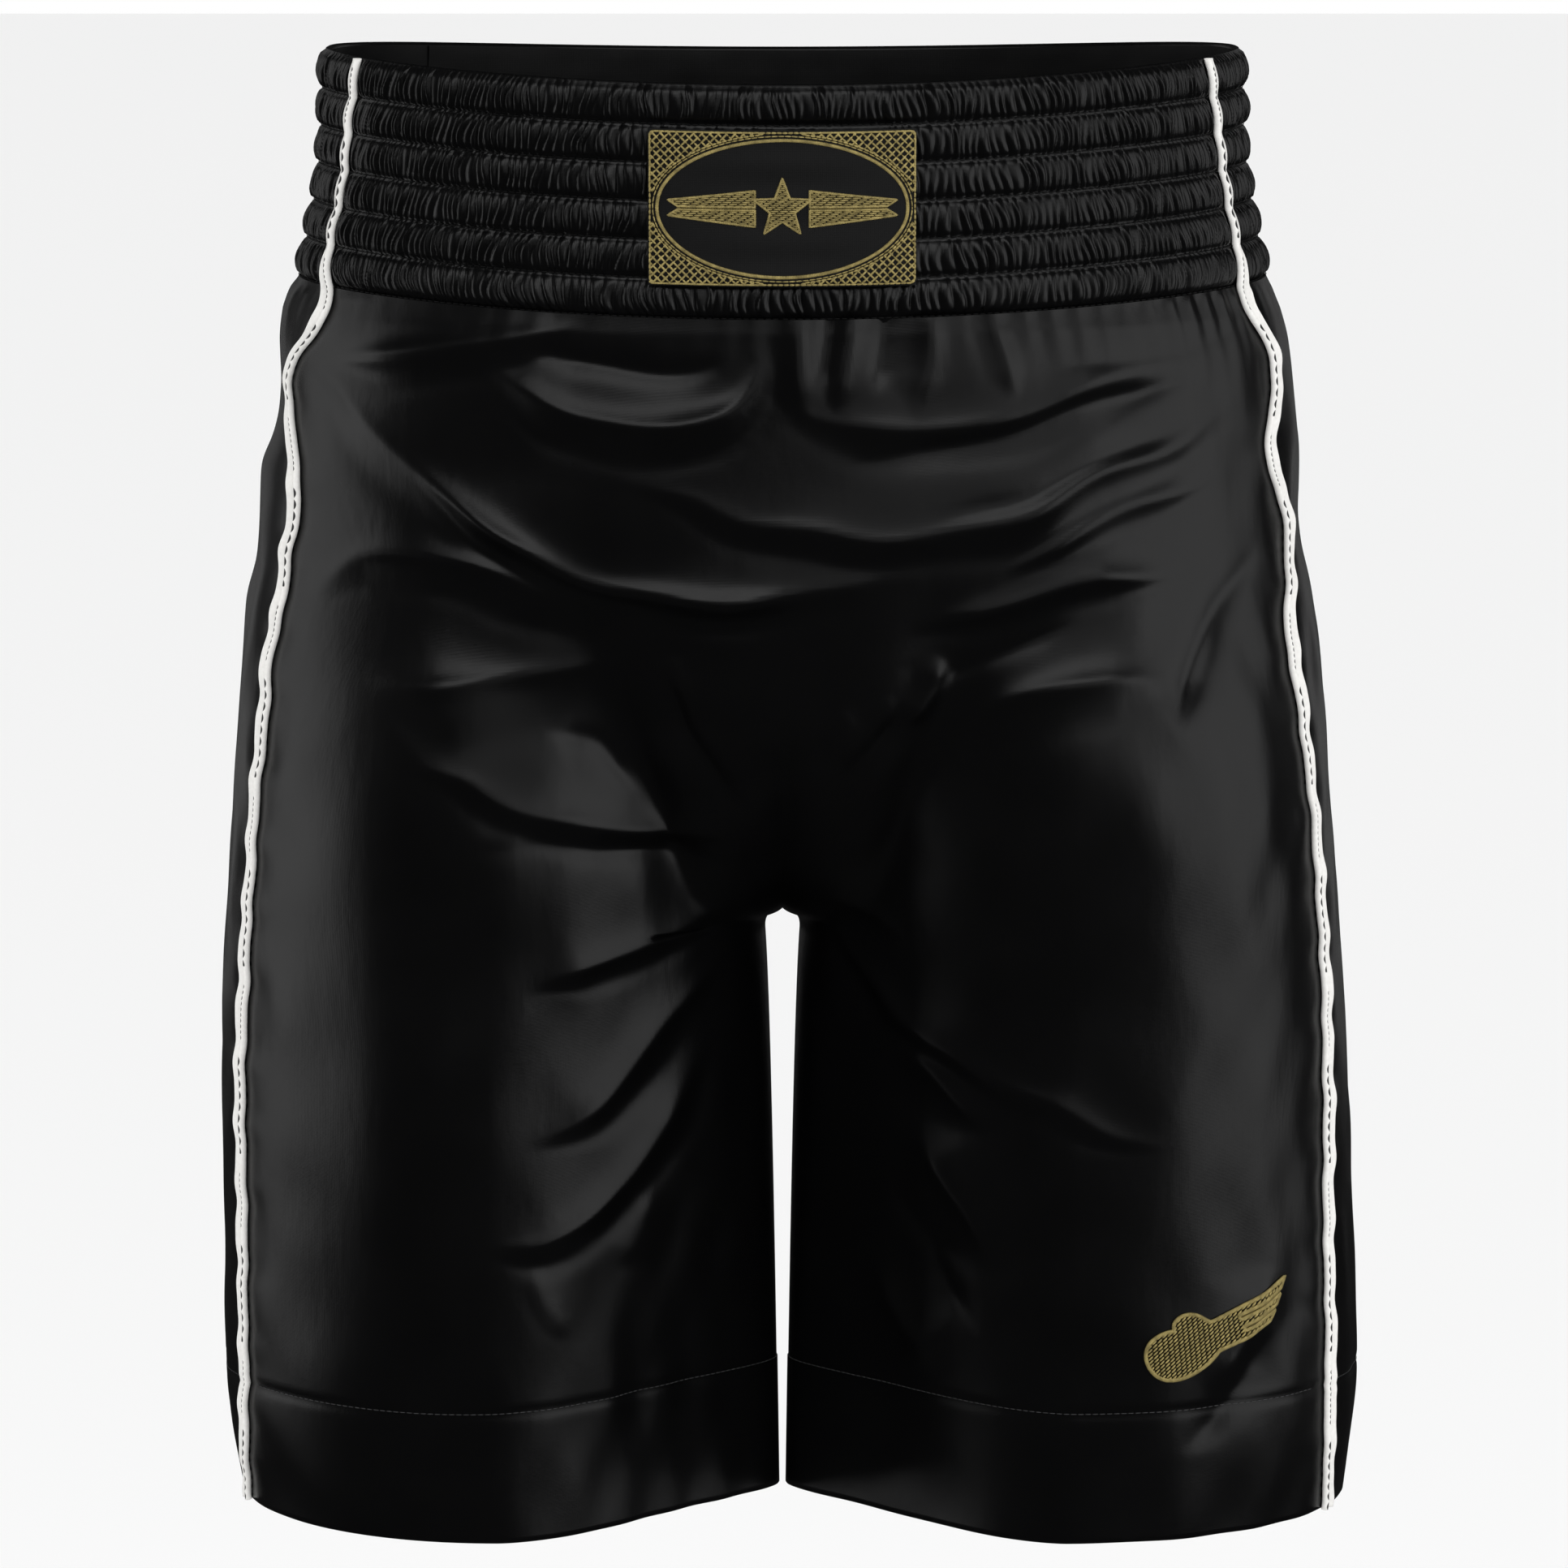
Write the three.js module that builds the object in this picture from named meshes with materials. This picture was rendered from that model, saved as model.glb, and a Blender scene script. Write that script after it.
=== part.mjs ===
// Boxing trunks: four satin panels, a six-channel elastic waistband with its facing, corded
// side piping, a woven waist label and an embroidered leg emblem, each as its own closed solid.
// Millimetres. +Z is up, +X is the wearer's left and the front faces -Y. The origin is the
// centre of the waist opening, at the height of its top edge over the hips.
// A "turn" is the angle round the waist from the front centre (0) over the wearer's left (PI / 2)
// to the back centre (PI). An "offset" is how far a point stands out from the garment's outline.
import * as THREE from "three";
import { TessellateModifier } from "three/addons/modifiers/TessellateModifier.js";

// Heights
const BAND_HEIGHT = 84;
const RISE_TOP_Z = -150;
const CROTCH_Z = -327;
const HEM_Z = -553;
const HEM_DEPTH = 50;

// The outline at rest, as [height, half width, half depth]
const OUTLINE = [
  [0, 173.5, 101],
  [-45, 176, 102],
  [-BAND_HEIGHT, 183.5, 104],
  [-110, 191, 107],
  [-200, 202, 112],
  [-250, 207.5, 116],
  [CROTCH_Z, 213, 102],
  [-420, 216, 99],
  [-510, 218, 97],
  [HEM_Z, 212, 95],
];
const SADDLE = 7; // how far the front and back centres of the band dip below its sides
const SEAM_CLEARANCE = 0.4; // half the space left at a seam
const TAPER_CROTCH = 0.35; // how much a leg's section thins towards the other leg
const TAPER_HEM = 0.65;
const CROTCH_ARCH = 8;
const CROTCH_REACH = Math.cos(THREE.MathUtils.degToRad(38)); // the crotch curve fades out by here
const LEG_GAP_TOP = 7.7; // half the gap between the legs, under the crotch
const LEG_GAP_HEM = 1.5;
const SIDE_TURN = THREE.MathUtils.degToRad(68); // side seam and piping, forward of the hip
const SIDE_TURN_LEG = THREE.MathUtils.degToRad(77);

// Cloth
const PLY = 1.2;
const CLEAR = 0.3;
const TUCK = 1.4; // the band's grooves and the panels' top edge lie this far inside the outline
const TUCK_LENGTH = 13;

// Waistband
const CHANNELS = 6;
const PITCH = BAND_HEIGHT / CHANNELS;
const PUFF = 3.2;
const PUFF_ROWS = 3;
const PUFF_FADE_TURN = 0.14; // the puffs flatten over this turn beside the piping
const ELASTIC = { offset: -3.2, thickness: 1.3, height: 11.5 };
const FACING = { offset: -4.9, thickness: 1, seamColumn: 18 };
const THREAD = { offset: 0.1, thickness: 0.6 };
const BAND_FRONT_COLUMNS = 15;
const BAND_BACK_COLUMNS = 22;
const RING_COLUMNS = 28;
const THREAD_COLUMNS = 36;

// Piping
const PIPING_CORD_RADIUS = 0.5;
const PIPING_BEAD_RADIUS = 1.3;
const PIPING_FLANGE = { width: 4.2, thickness: 0.8 };
const PIPING_STEPS = 26;
const STITCH_STOP = 2; // the hem's thread ends this far from the tape
const BEAD_SIDES = 10;
const CORD_SIDES = 6;

// Label and emblem
const LABEL = { width: 97, height: 57, drop: 44, offset: 2, thickness: 1, piece: 17 };
const OVAL = { halfWidth: 46.5, halfHeight: 26.5, width: 2.2, points: 32 };
const STAR = { radius: 11, waist: 0.42, points: 5 };
const WING = { root: 8.25, reach: 41, halfHeight: 6.5, tip: 2.2 };
const EMBROIDERY = { clear: 0.6, thickness: 0.7, piece: 8 };
const CURVE_STEPS = 6;
const SPLIT_PASSES = 8; // how often a badge's triangles may be halved before it is bent
const EMBLEM = { turn: 1.05, z: -473.5, slant: 0.36, clear: 0.5, thickness: 1, piece: 8 };
const EMBLEM_STRETCH = { along: 1.25, up: 0.85 };

// Panels
const FRONT_COLUMNS = 10;
const BACK_COLUMNS = 12;
const STRAIGHT_ROWS = 3;
const RISE_ROWS = 7;
const THIGH_ROWS = 4;

const SATIN = new THREE.MeshStandardMaterial({ color: 0x0c0c0d, roughness: 0.35 });
const FACING_CLOTH = new THREE.MeshStandardMaterial({ color: 0x141415, roughness: 0.6 });
const RUBBER_WEB = new THREE.MeshStandardMaterial({ color: 0x1d1d1f, roughness: 0.8 });
const TAPE = new THREE.MeshStandardMaterial({ color: 0xe9e7e2, roughness: 0.6 });
const FILLER = new THREE.MeshStandardMaterial({ color: 0xd8d4c8, roughness: 0.9 });
const WOVEN = new THREE.MeshStandardMaterial({ color: 0x121110, roughness: 0.7 });
const GOLD = new THREE.MeshStandardMaterial({ color: 0x9a8140, roughness: 0.4, metalness: 0.5 });
const SEWING = new THREE.MeshStandardMaterial({ color: 0x1a1a1b, roughness: 0.6 });

const { clamp, lerp, smoothstep } = THREE.MathUtils;

// The outline's half width (column 1) or half depth (column 2) at a height, on a smooth curve.
function outline(z, column) {
  const last = OUTLINE.length - 1;
  let i = 0;
  while (i < last - 1 && z < OUTLINE[i + 1][0]) i += 1;
  const slope = (k) => {
    const above = OUTLINE[Math.max(k - 1, 0)];
    const below = OUTLINE[Math.min(k + 1, last)];
    return (below[column] - above[column]) / (below[0] - above[0]);
  };
  const span = OUTLINE[i + 1][0] - OUTLINE[i][0];
  const t = (z - OUTLINE[i][0]) / span;
  const start = OUTLINE[i][column];
  const end = OUTLINE[i + 1][column];
  const ease = t * t * (3 - 2 * t);
  const lead = t * (1 - t) * (1 - t) * slope(i) * span;
  const trail = t * t * (t - 1) * slope(i + 1) * span;
  return start + (end - start) * ease + lead + trail;
}

// How far the leg tubes have parted: 0 above the rise, 1 from the crotch down. At the centre
// seam the cloth curves under to the crotch, and further out it runs straight down the thigh.
function parting(turn, z) {
  const t = clamp((RISE_TOP_Z - z) / (RISE_TOP_Z - CROTCH_Z), 0, 1);
  const underCrotch = 1 - Math.sqrt(1 - t * t);
  const downThigh = t * t * (3 - 2 * t);
  return lerp(downThigh, underCrotch, smoothstep(Math.abs(Math.cos(turn)), CROTCH_REACH, 1));
}

// Half the gap between the legs: closed at the crotch, wide under its arch, narrow at the hem.
function legGap(z) {
  const below = clamp(CROTCH_Z - z, 0, CROTCH_Z - HEM_Z);
  const arch = Math.sqrt(1 - (1 - Math.min(below / CROTCH_ARCH, 1)) ** 2);
  const narrowing = (below / (CROTCH_Z - HEM_Z)) ** 0.5;
  return Math.max(SEAM_CLEARANCE, arch * lerp(LEG_GAP_TOP, LEG_GAP_HEM, narrowing));
}

function dip(turn, z) {
  return SADDLE * Math.cos(turn) ** 2 * smoothstep(z, CROTCH_Z, -BAND_HEIGHT);
}

function sideTurn(z) {
  return lerp(SIDE_TURN_LEG, SIDE_TURN, smoothstep(z, CROTCH_Z, -BAND_HEIGHT));
}

// A point of the outline on the wearer's left half, for a turn from 0 to PI.
function skin(turn, z) {
  const width = outline(z, 1);
  const depth = outline(z, 2);
  const gap = legGap(z);
  const legWidth = (width - gap) / 2;
  const angle = 2 * turn;
  const thinning = lerp(TAPER_HEM, TAPER_CROTCH, smoothstep(z, HEM_Z, CROTCH_Z));
  const taper = 1 - thinning * Math.max(0, Math.cos(angle)) ** 1.5;
  const leg = [gap + legWidth * (1 - Math.cos(angle)), -depth * Math.sin(angle) * taper];
  const share = parting(turn, z);
  return new THREE.Vector3(
    lerp(width * Math.sin(turn), leg[0], share),
    lerp(-depth * Math.cos(turn), leg[1], share),
    z - dip(turn, z),
  );
}

// The frame of the outline at a point: outward, and across towards the back.
function skinFrame(turn, z) {
  const step = 1e-3;
  const across = skin(turn + step, z).sub(skin(turn - step, z)).normalize();
  const down = skin(turn, z - step).sub(skin(turn, z + step));
  return { across, outward: down.cross(across).normalize() };
}

function offSkin(turn, z, offset, aside = 0) {
  const { across, outward } = skinFrame(turn, z);
  return skin(turn, z).addScaledVector(outward, offset).addScaledVector(across, aside);
}

// A point of the waistband, for a turn all the way round.
function onBand(turn, z, offset) {
  return new THREE.Vector3(
    (outline(z, 1) + offset) * Math.sin(turn),
    -(outline(z, 2) + offset) * Math.cos(turn),
    z - dip(turn, z),
  );
}

function solid(name, material, points, triangles) {
  const geometry = new THREE.BufferGeometry().setFromPoints(points);
  geometry.setIndex(triangles.flat());
  geometry.computeVertexNormals();
  const mesh = new THREE.Mesh(geometry, material);
  mesh.name = name;
  return mesh;
}

// Two triangles for the four corners a, b, c, d, which run anticlockwise seen from outside.
function quad(a, b, c, d) {
  return [
    [a, b, c],
    [a, c, d],
  ];
}

// A closed sheet. place(column, row) gives its outer face, columns run towards the wearer's
// back and rows run down, and the inner face lies thickness(row) behind the outer one.
// confine(point, column) may move a point of either face back to its own side of a seam.
function sheet(name, material, columns, rows, place, thickness, confine = (point) => point) {
  const at = (i, j) => j * (columns + 1) + i;
  const outer = [];
  for (let j = 0; j <= rows; j += 1) {
    for (let i = 0; i <= columns; i += 1) outer.push(confine(place(i, j), i));
  }
  const normals = outer.map(() => new THREE.Vector3());
  const triangles = [];
  const inside = outer.length;
  for (let j = 0; j < rows; j += 1) {
    for (let i = 0; i < columns; i += 1) {
      const corners = [at(i, j), at(i, j + 1), at(i + 1, j + 1), at(i + 1, j)];
      const [a, b, c, d] = corners.map((k) => outer[k]);
      const normal = c.clone().sub(a).cross(d.clone().sub(b));
      corners.forEach((k) => normals[k].add(normal));
      triangles.push(...quad(...corners), ...quad(...corners.map((k) => k + inside).reverse()));
    }
  }
  const inner = outer.map((point, k) => {
    const depth = thickness(Math.floor(k / (columns + 1)));
    const behind = point.clone().addScaledVector(normals[k].normalize(), -depth);
    return confine(behind, k % (columns + 1));
  });
  const rim = [];
  for (let i = 0; i < columns; i += 1) rim.push(at(i, 0));
  for (let j = 0; j < rows; j += 1) rim.push(at(columns, j));
  for (let i = columns; i > 0; i -= 1) rim.push(at(i, rows));
  for (let j = rows; j > 0; j -= 1) rim.push(at(0, j));
  rim.forEach((a, k) => {
    const b = rim[(k + 1) % rim.length];
    triangles.push(...quad(a, b, b + inside, a + inside));
  });
  return solid(name, material, [...outer, ...inner], triangles);
}

// A solid with one flat section carried along stations. place(station, point) sets each point
// of the section, whose outline runs anticlockwise seen from the station after it.
function loft(name, material, section, stations, place, closed = false) {
  const { shape: contour, holes } = section;
  const flat = [...contour, ...holes.flat()];
  const points = stations.flatMap((station) => flat.map((point) => place(station, point)));
  const size = flat.length;
  const triangles = [];
  const strips = closed ? stations.length : stations.length - 1;
  let first = 0;
  for (const loop of [contour, ...holes]) {
    for (let s = 0; s < strips; s += 1) {
      const here = s * size + first;
      const next = ((s + 1) % stations.length) * size + first;
      for (let k = 0; k < loop.length; k += 1) {
        const m = (k + 1) % loop.length;
        triangles.push(...quad(here + k, here + m, next + m, next + k));
      }
    }
    first += loop.length;
  }
  if (!closed) {
    const end = (stations.length - 1) * size;
    for (const [a, b, c] of THREE.ShapeUtils.triangulateShape(contour, holes)) {
      triangles.push([c, b, a], [a + end, b + end, c + end]);
    }
  }
  return solid(name, material, points, triangles);
}

// A flat shape of even thickness, bent over a curved surface by place(x, y, depth).
function badge(name, material, shape, thickness, piece, place) {
  const settings = { depth: thickness, bevelEnabled: false, curveSegments: CURVE_STEPS };
  const plate = new THREE.ExtrudeGeometry(shape, settings);
  const fine = new TessellateModifier(piece, SPLIT_PASSES).modify(plate);
  const corners = fine.getAttribute("position");
  for (let k = 0; k < corners.count; k += 1) {
    const bent = place(corners.getX(k), corners.getY(k), corners.getZ(k));
    corners.setXYZ(k, bent.x, bent.y, bent.z);
  }
  const mesh = new THREE.Mesh(fine, material);
  mesh.name = name;
  return mesh;
}

function circle(radius, sides, centreY = 0) {
  const loop = [];
  for (let k = 0; k < sides; k += 1) {
    const angle = (k * 2 * Math.PI) / sides;
    loop.push(new THREE.Vector2(radius * Math.cos(angle), centreY + radius * Math.sin(angle)));
  }
  return loop;
}

function rectangle(left, right, low, high) {
  return [
    new THREE.Vector2(left, low),
    new THREE.Vector2(right, low),
    new THREE.Vector2(right, high),
    new THREE.Vector2(left, high),
  ];
}

// The same piece for the wearer's right.
function mirrored(mesh) {
  const twin = new THREE.Mesh(mesh.geometry, mesh.material);
  twin.name = mesh.name.replace("left", "right");
  twin.scale.x = -1;
  return twin;
}

// The heights of the panels' rows, close together where the crotch curves under.
function panelHeights() {
  const top = -BAND_HEIGHT - 2 * CLEAR;
  const heights = [];
  for (let k = 0; k < STRAIGHT_ROWS; k += 1) heights.push(lerp(top, RISE_TOP_Z, k / STRAIGHT_ROWS));
  for (let k = 0; k <= RISE_ROWS; k += 1) {
    heights.push(lerp(RISE_TOP_Z, CROTCH_Z, Math.sin((k / RISE_ROWS) * (Math.PI / 2))));
  }
  const arch = CROTCH_Z - CROTCH_ARCH;
  for (let k = 0; k <= THIGH_ROWS; k += 1) {
    heights.push(lerp(arch, HEM_Z + HEM_DEPTH, k / THIGH_ROWS));
  }
  heights.push(HEM_Z);
  return heights;
}

const HEIGHTS = panelHeights();

// The turns of a panel's columns at a height, which stop short of the side seam.
function panelTurns(z, isFront) {
  const seam = sideTurn(z);
  const play = (2 * SEAM_CLEARANCE) / outline(z, 1);
  const columns = isFront ? FRONT_COLUMNS : BACK_COLUMNS;
  const [from, to] = isFront ? [0, seam - play] : [seam + play, Math.PI];
  return Array.from({ length: columns + 1 }, (_, i) => lerp(from, to, i / columns));
}

// One panel of the left leg: a single ply, doubled where the hem is turned up.
function panel(name, isFront) {
  const columns = isFront ? FRONT_COLUMNS : BACK_COLUMNS;
  const place = (i, j) => {
    const z = HEIGHTS[j];
    const tucked = -TUCK * clamp(1 - (-BAND_HEIGHT - z) / TUCK_LENGTH, 0, 1);
    return offSkin(panelTurns(z, isFront)[i], z, tucked);
  };
  const confine = (point, i) => {
    point.x = Math.max(point.x, SEAM_CLEARANCE);
    if (isFront) point.y = Math.min(point.y, -SEAM_CLEARANCE);
    else if (i > columns / 2) point.y = Math.max(point.y, SEAM_CLEARANCE);
    return point;
  };
  const thickness = (j) => (HEIGHTS[j] <= HEM_Z + HEM_DEPTH ? 2 * PLY : PLY);
  return sheet(name, SATIN, columns, HEIGHTS.length - 1, place, thickness, confine);
}

// The band's gathered outer cloth between two side seams, puffed out over each channel.
function bandShell(name, from, to, columns) {
  const play = (2 * SEAM_CLEARANCE) / outline(0, 1);
  const rows = CHANNELS * PUFF_ROWS;
  const place = (i, j) => {
    const turn = lerp(from + play, to - play, i / columns);
    const fromSeam = Math.min(turn - from, to - turn);
    const fade = smoothstep(fromSeam, 0, PUFF_FADE_TURN);
    const puff = PUFF * fade * Math.abs(Math.sin((Math.PI * j) / PUFF_ROWS));
    return onBand(turn, (-BAND_HEIGHT * j) / rows, puff - TUCK);
  };
  return sheet(name, SATIN, columns, rows, place, () => PLY);
}

// A closed band of rectangular section round the waist.
function ring(name, material, columns, z, height, { offset, thickness }) {
  const section = { shape: rectangle(offset - thickness, offset, -height / 2, height / 2), holes: [] };
  const turns = Array.from({ length: columns }, (_, k) => (2 * Math.PI * k) / columns);
  const place = (turn, point) => onBand(turn, z + point.y, point.x);
  return loft(name, material, section, turns.reverse(), place, true);
}

// The smooth inner cloth: one strip whose ends meet at an upright join behind the right hip.
function facing() {
  const rows = CHANNELS;
  const play = (2 * CLEAR) / outline(0, 1);
  const join = (2 * Math.PI * FACING.seamColumn) / RING_COLUMNS;
  const start = join + play;
  const end = join + 2 * Math.PI - play;
  const place = (i, j) =>
    onBand(lerp(start, end, i / RING_COLUMNS), -BAND_HEIGHT * (j / rows), FACING.offset);
  return sheet("waistband_facing", FACING_CLOTH, RING_COLUMNS, rows, place, () => FACING.thickness);
}

function pipingHeights() {
  return Array.from({ length: PIPING_STEPS + 1 }, (_, k) => (HEM_Z * k) / PIPING_STEPS);
}

// The folded tape: a round bead with a hollow for its cord, and a flat flange behind it.
function pipingTape() {
  const bead = circle(PIPING_BEAD_RADIUS, BEAD_SIDES, PIPING_BEAD_RADIUS);
  const front = bead.filter((point) => point.x < PIPING_BEAD_RADIUS / 2);
  const { width, thickness } = PIPING_FLANGE;
  const flange = rectangle(PIPING_BEAD_RADIUS, width, 0, thickness).slice(1, 3);
  const neck = new THREE.Vector2(PIPING_BEAD_RADIUS, thickness);
  const hollow = circle(PIPING_CORD_RADIUS + CLEAR, CORD_SIDES, PIPING_BEAD_RADIUS).reverse();
  const section = { shape: [...front, ...flange, neck], holes: [hollow] };
  const place = (z, point) => offSkin(sideTurn(z), z, CLEAR + point.y, point.x);
  return loft("piping_tape_left", TAPE, section, pipingHeights(), place);
}

function pipingCord() {
  const section = { shape: circle(PIPING_CORD_RADIUS, CORD_SIDES, PIPING_BEAD_RADIUS), holes: [] };
  const place = (z, point) => offSkin(sideTurn(z), z, CLEAR + point.y, point.x);
  return loft("piping_cord_left", FILLER, section, pipingHeights(), place);
}

// One row of thread round the left leg, open where the piping crosses it.
function hemStitching() {
  const z = HEM_Z + HEM_DEPTH;
  const opening = (PIPING_FLANGE.width + STITCH_STOP) / outline(z, 1);
  const front = panelTurns(z, true);
  const back = panelTurns(z, false);
  front[FRONT_COLUMNS] -= opening;
  back[0] += 2 * opening;
  const half = THREAD.thickness / 2;
  const section = { shape: rectangle(CLEAR, CLEAR + THREAD.thickness, -half, half), holes: [] };
  const around = [...back, ...front];
  const place = (turn, point) => offSkin(turn, z + point.y, point.x);
  return loft("hem_stitching_left", SEWING, section, around.reverse(), place);
}

// Where the label and its embroidery lie: x along the band, y up, on the front centre.
function onLabel(x, y, offset) {
  const z = -LABEL.drop + y;
  return onBand(Math.asin(x / outline(z, 1)), z, offset);
}

function labelPatch() {
  const corners = rectangle(-LABEL.width / 2, LABEL.width / 2, -LABEL.height / 2, LABEL.height / 2);
  return badge("waist_label", WOVEN, new THREE.Shape(corners), LABEL.thickness, LABEL.piece, (x, y, d) =>
    onLabel(x, y, LABEL.offset + d),
  );
}

const EMBROIDERY_OFFSET = LABEL.offset + LABEL.thickness + EMBROIDERY.clear;

function labelOval() {
  const ellipse = (inset) =>
    new THREE.EllipseCurve(0, 0, OVAL.halfWidth - inset, OVAL.halfHeight - inset).getPoints(OVAL.points);
  const shape = new THREE.Shape(ellipse(0));
  shape.holes.push(new THREE.Path(ellipse(OVAL.width)));
  return badge("label_oval", GOLD, shape, EMBROIDERY.thickness, EMBROIDERY.piece, (x, y, d) =>
    onLabel(x, y, EMBROIDERY_OFFSET + d),
  );
}

// A five-pointed star whose side points are lost in a tapering wing to each side.
function labelStar() {
  const spoke = (k) => {
    const angle = Math.PI / 2 + (k * Math.PI) / STAR.points;
    const length = k % 2 ? STAR.radius * STAR.waist : STAR.radius;
    return new THREE.Vector2(length * Math.cos(angle), length * Math.sin(angle));
  };
  const wing = (side) => [
    new THREE.Vector2(side * WING.root, WING.halfHeight),
    new THREE.Vector2(side * WING.reach, WING.tip),
    new THREE.Vector2(side * WING.reach, -WING.tip),
    new THREE.Vector2(side * WING.root, -WING.halfHeight),
  ];
  const [top, leftFoot, notch, rightFoot] = [0, 4, 5, 6].map(spoke);
  const outlineOfStar = [top, ...wing(-1), leftFoot, notch, rightFoot, ...wing(1).reverse()];
  const shape = new THREE.Shape(outlineOfStar);
  return badge("label_star", GOLD, shape, EMBROIDERY.thickness, EMBROIDERY.piece, (x, y, d) =>
    onLabel(x, y, EMBROIDERY_OFFSET + d),
  );
}

// A boxing glove in outline, its fist to the left, its thumb up and three bars trailing.
function gloveShape() {
  const shape = new THREE.Shape();
  shape.moveTo(-3, 6.4);
  shape.lineTo(27, 6.4);
  shape.lineTo(24, 3.2);
  shape.lineTo(6, 3.2);
  shape.lineTo(6, 1.2);
  shape.lineTo(23, 1.2);
  shape.lineTo(20, -2);
  shape.lineTo(6, -2);
  shape.lineTo(6, -4);
  shape.lineTo(19, -4);
  shape.lineTo(16, -7.2);
  shape.lineTo(-3.8, -7.2);
  shape.bezierCurveTo(-8.6, -12, -15.8, -13.6, -20.6, -10.4);
  shape.bezierCurveTo(-26.2, -7.2, -27, 4.8, -23, 8.8);
  shape.bezierCurveTo(-20.6, 11.2, -16.6, 11.2, -14.2, 9.6);
  shape.bezierCurveTo(-15, 13.6, -11, 16, -7.8, 13.6);
  shape.bezierCurveTo(-5.4, 12, -4.6, 8.8, -3, 6.4);
  return shape;
}

// The emblem lies on the front of the left leg, slanted, its middle above the hem.
function legEmblem() {
  const step = 0.01;
  const along = skin(EMBLEM.turn + step, EMBLEM.z).distanceTo(skin(EMBLEM.turn, EMBLEM.z));
  const speed = along / step;
  const [cos, sin] = [Math.cos(EMBLEM.slant), Math.sin(EMBLEM.slant)];
  const place = (drawnX, drawnY, d) => {
    const x = drawnX * EMBLEM_STRETCH.along;
    const y = drawnY * EMBLEM_STRETCH.up;
    const turn = EMBLEM.turn + (x * cos - y * sin) / speed;
    return offSkin(turn, EMBLEM.z + x * sin + y * cos, EMBLEM.clear + d);
  };
  return badge("leg_emblem", GOLD, gloveShape(), EMBLEM.thickness, EMBLEM.piece, place);
}

const trunks = new THREE.Group();

const leftPieces = [
  panel("front_panel_left", true),
  panel("back_panel_left", false),
  pipingTape(),
  pipingCord(),
  hemStitching(),
];
trunks.add(...leftPieces, ...leftPieces.map(mirrored));

trunks.add(
  bandShell("waistband_front", -SIDE_TURN, SIDE_TURN, BAND_FRONT_COLUMNS),
  bandShell("waistband_back", SIDE_TURN, 2 * Math.PI - SIDE_TURN, BAND_BACK_COLUMNS),
  facing(),
);
for (let k = 1; k <= CHANNELS; k += 1) {
  const middle = -PITCH * (k - 0.5);
  trunks.add(
    ring(`elastic_band_${k}`, RUBBER_WEB, RING_COLUMNS, middle, ELASTIC.height, ELASTIC),
  );
}
for (let k = 1; k <= CHANNELS; k += 1) {
  const name = k < CHANNELS ? `channel_stitching_${k}` : "waist_seam_stitching";
  const seam = -PITCH * k - (k < CHANNELS ? 0 : CLEAR);
  trunks.add(ring(name, SEWING, THREAD_COLUMNS, seam, THREAD.thickness, THREAD));
}
trunks.add(labelPatch(), labelOval(), labelStar(), legEmblem());

export default trunks;
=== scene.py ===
"""Looks for the boxing trunks: cloth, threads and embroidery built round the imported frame.

Shapes are worked out in millimetres in the CAD frame and become metres as each mesh is made.
+X is the wearer's left, -Y the front and +Z up. A "turn" is the angle round the waist from the
front centre (0) over one hip (pi / 2) to the back centre (pi), and a side is +1 for the wearer's
left or -1 for the right. A "lift" is how far a point stands outside the cloth.
"""

import itertools
import math
from math import pi
from types import SimpleNamespace as Sizes

import bpy
import numpy as np
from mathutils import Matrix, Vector


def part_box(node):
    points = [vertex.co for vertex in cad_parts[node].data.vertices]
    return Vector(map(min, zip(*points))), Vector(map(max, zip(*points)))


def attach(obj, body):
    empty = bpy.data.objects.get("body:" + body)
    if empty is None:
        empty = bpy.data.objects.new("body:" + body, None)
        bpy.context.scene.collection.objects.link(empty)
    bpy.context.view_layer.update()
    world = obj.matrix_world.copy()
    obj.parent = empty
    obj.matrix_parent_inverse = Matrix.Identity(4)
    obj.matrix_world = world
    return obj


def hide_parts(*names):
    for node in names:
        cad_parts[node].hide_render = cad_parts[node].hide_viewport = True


MM = 0.001
SEED = 11
WORD = {1: "left", -1: "right"}

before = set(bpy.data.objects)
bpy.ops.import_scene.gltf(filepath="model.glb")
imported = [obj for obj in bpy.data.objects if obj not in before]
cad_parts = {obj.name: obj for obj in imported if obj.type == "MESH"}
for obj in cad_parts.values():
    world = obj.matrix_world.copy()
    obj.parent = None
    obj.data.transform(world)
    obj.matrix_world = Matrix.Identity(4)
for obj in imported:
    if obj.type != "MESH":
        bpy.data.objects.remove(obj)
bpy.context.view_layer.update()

# ---- dimensions, as in the CAD
BAND_HEIGHT = 84.0
RISE_TOP_Z = -150.0
CROTCH_Z = -327.0
HEM_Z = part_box("front_panel_left")[0].z / MM
HEM_DEPTH = 50.0
# The half width and half depth of the garment, as (height, half width, half depth)
OUTLINE = np.array([
    (0, 173.5, 101), (-45, 176, 102), (-84, 183.5, 104), (-110, 191, 107), (-200, 202, 112),
    (-250, 207.5, 116), (-327, 213, 102), (-420, 216, 99), (-510, 218, 97), (-553, 212, 95),
])
SADDLE = 7.0
TAPER_CROTCH = 0.35
TAPER_HEM = 0.65
CROTCH_ARCH = 8.0
CROTCH_REACH = math.cos(math.radians(32))
LEG_GAP_TOP = 7.7
LEG_GAP_HEM = 1.5
GENTLE_REACH = 60.0
ARCH_REACH = math.cos(math.radians(16))
TUCK = 1.4
TUCK_LENGTH = 13.0
CHANNELS = 6
PITCH = BAND_HEIGHT / CHANNELS

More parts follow.
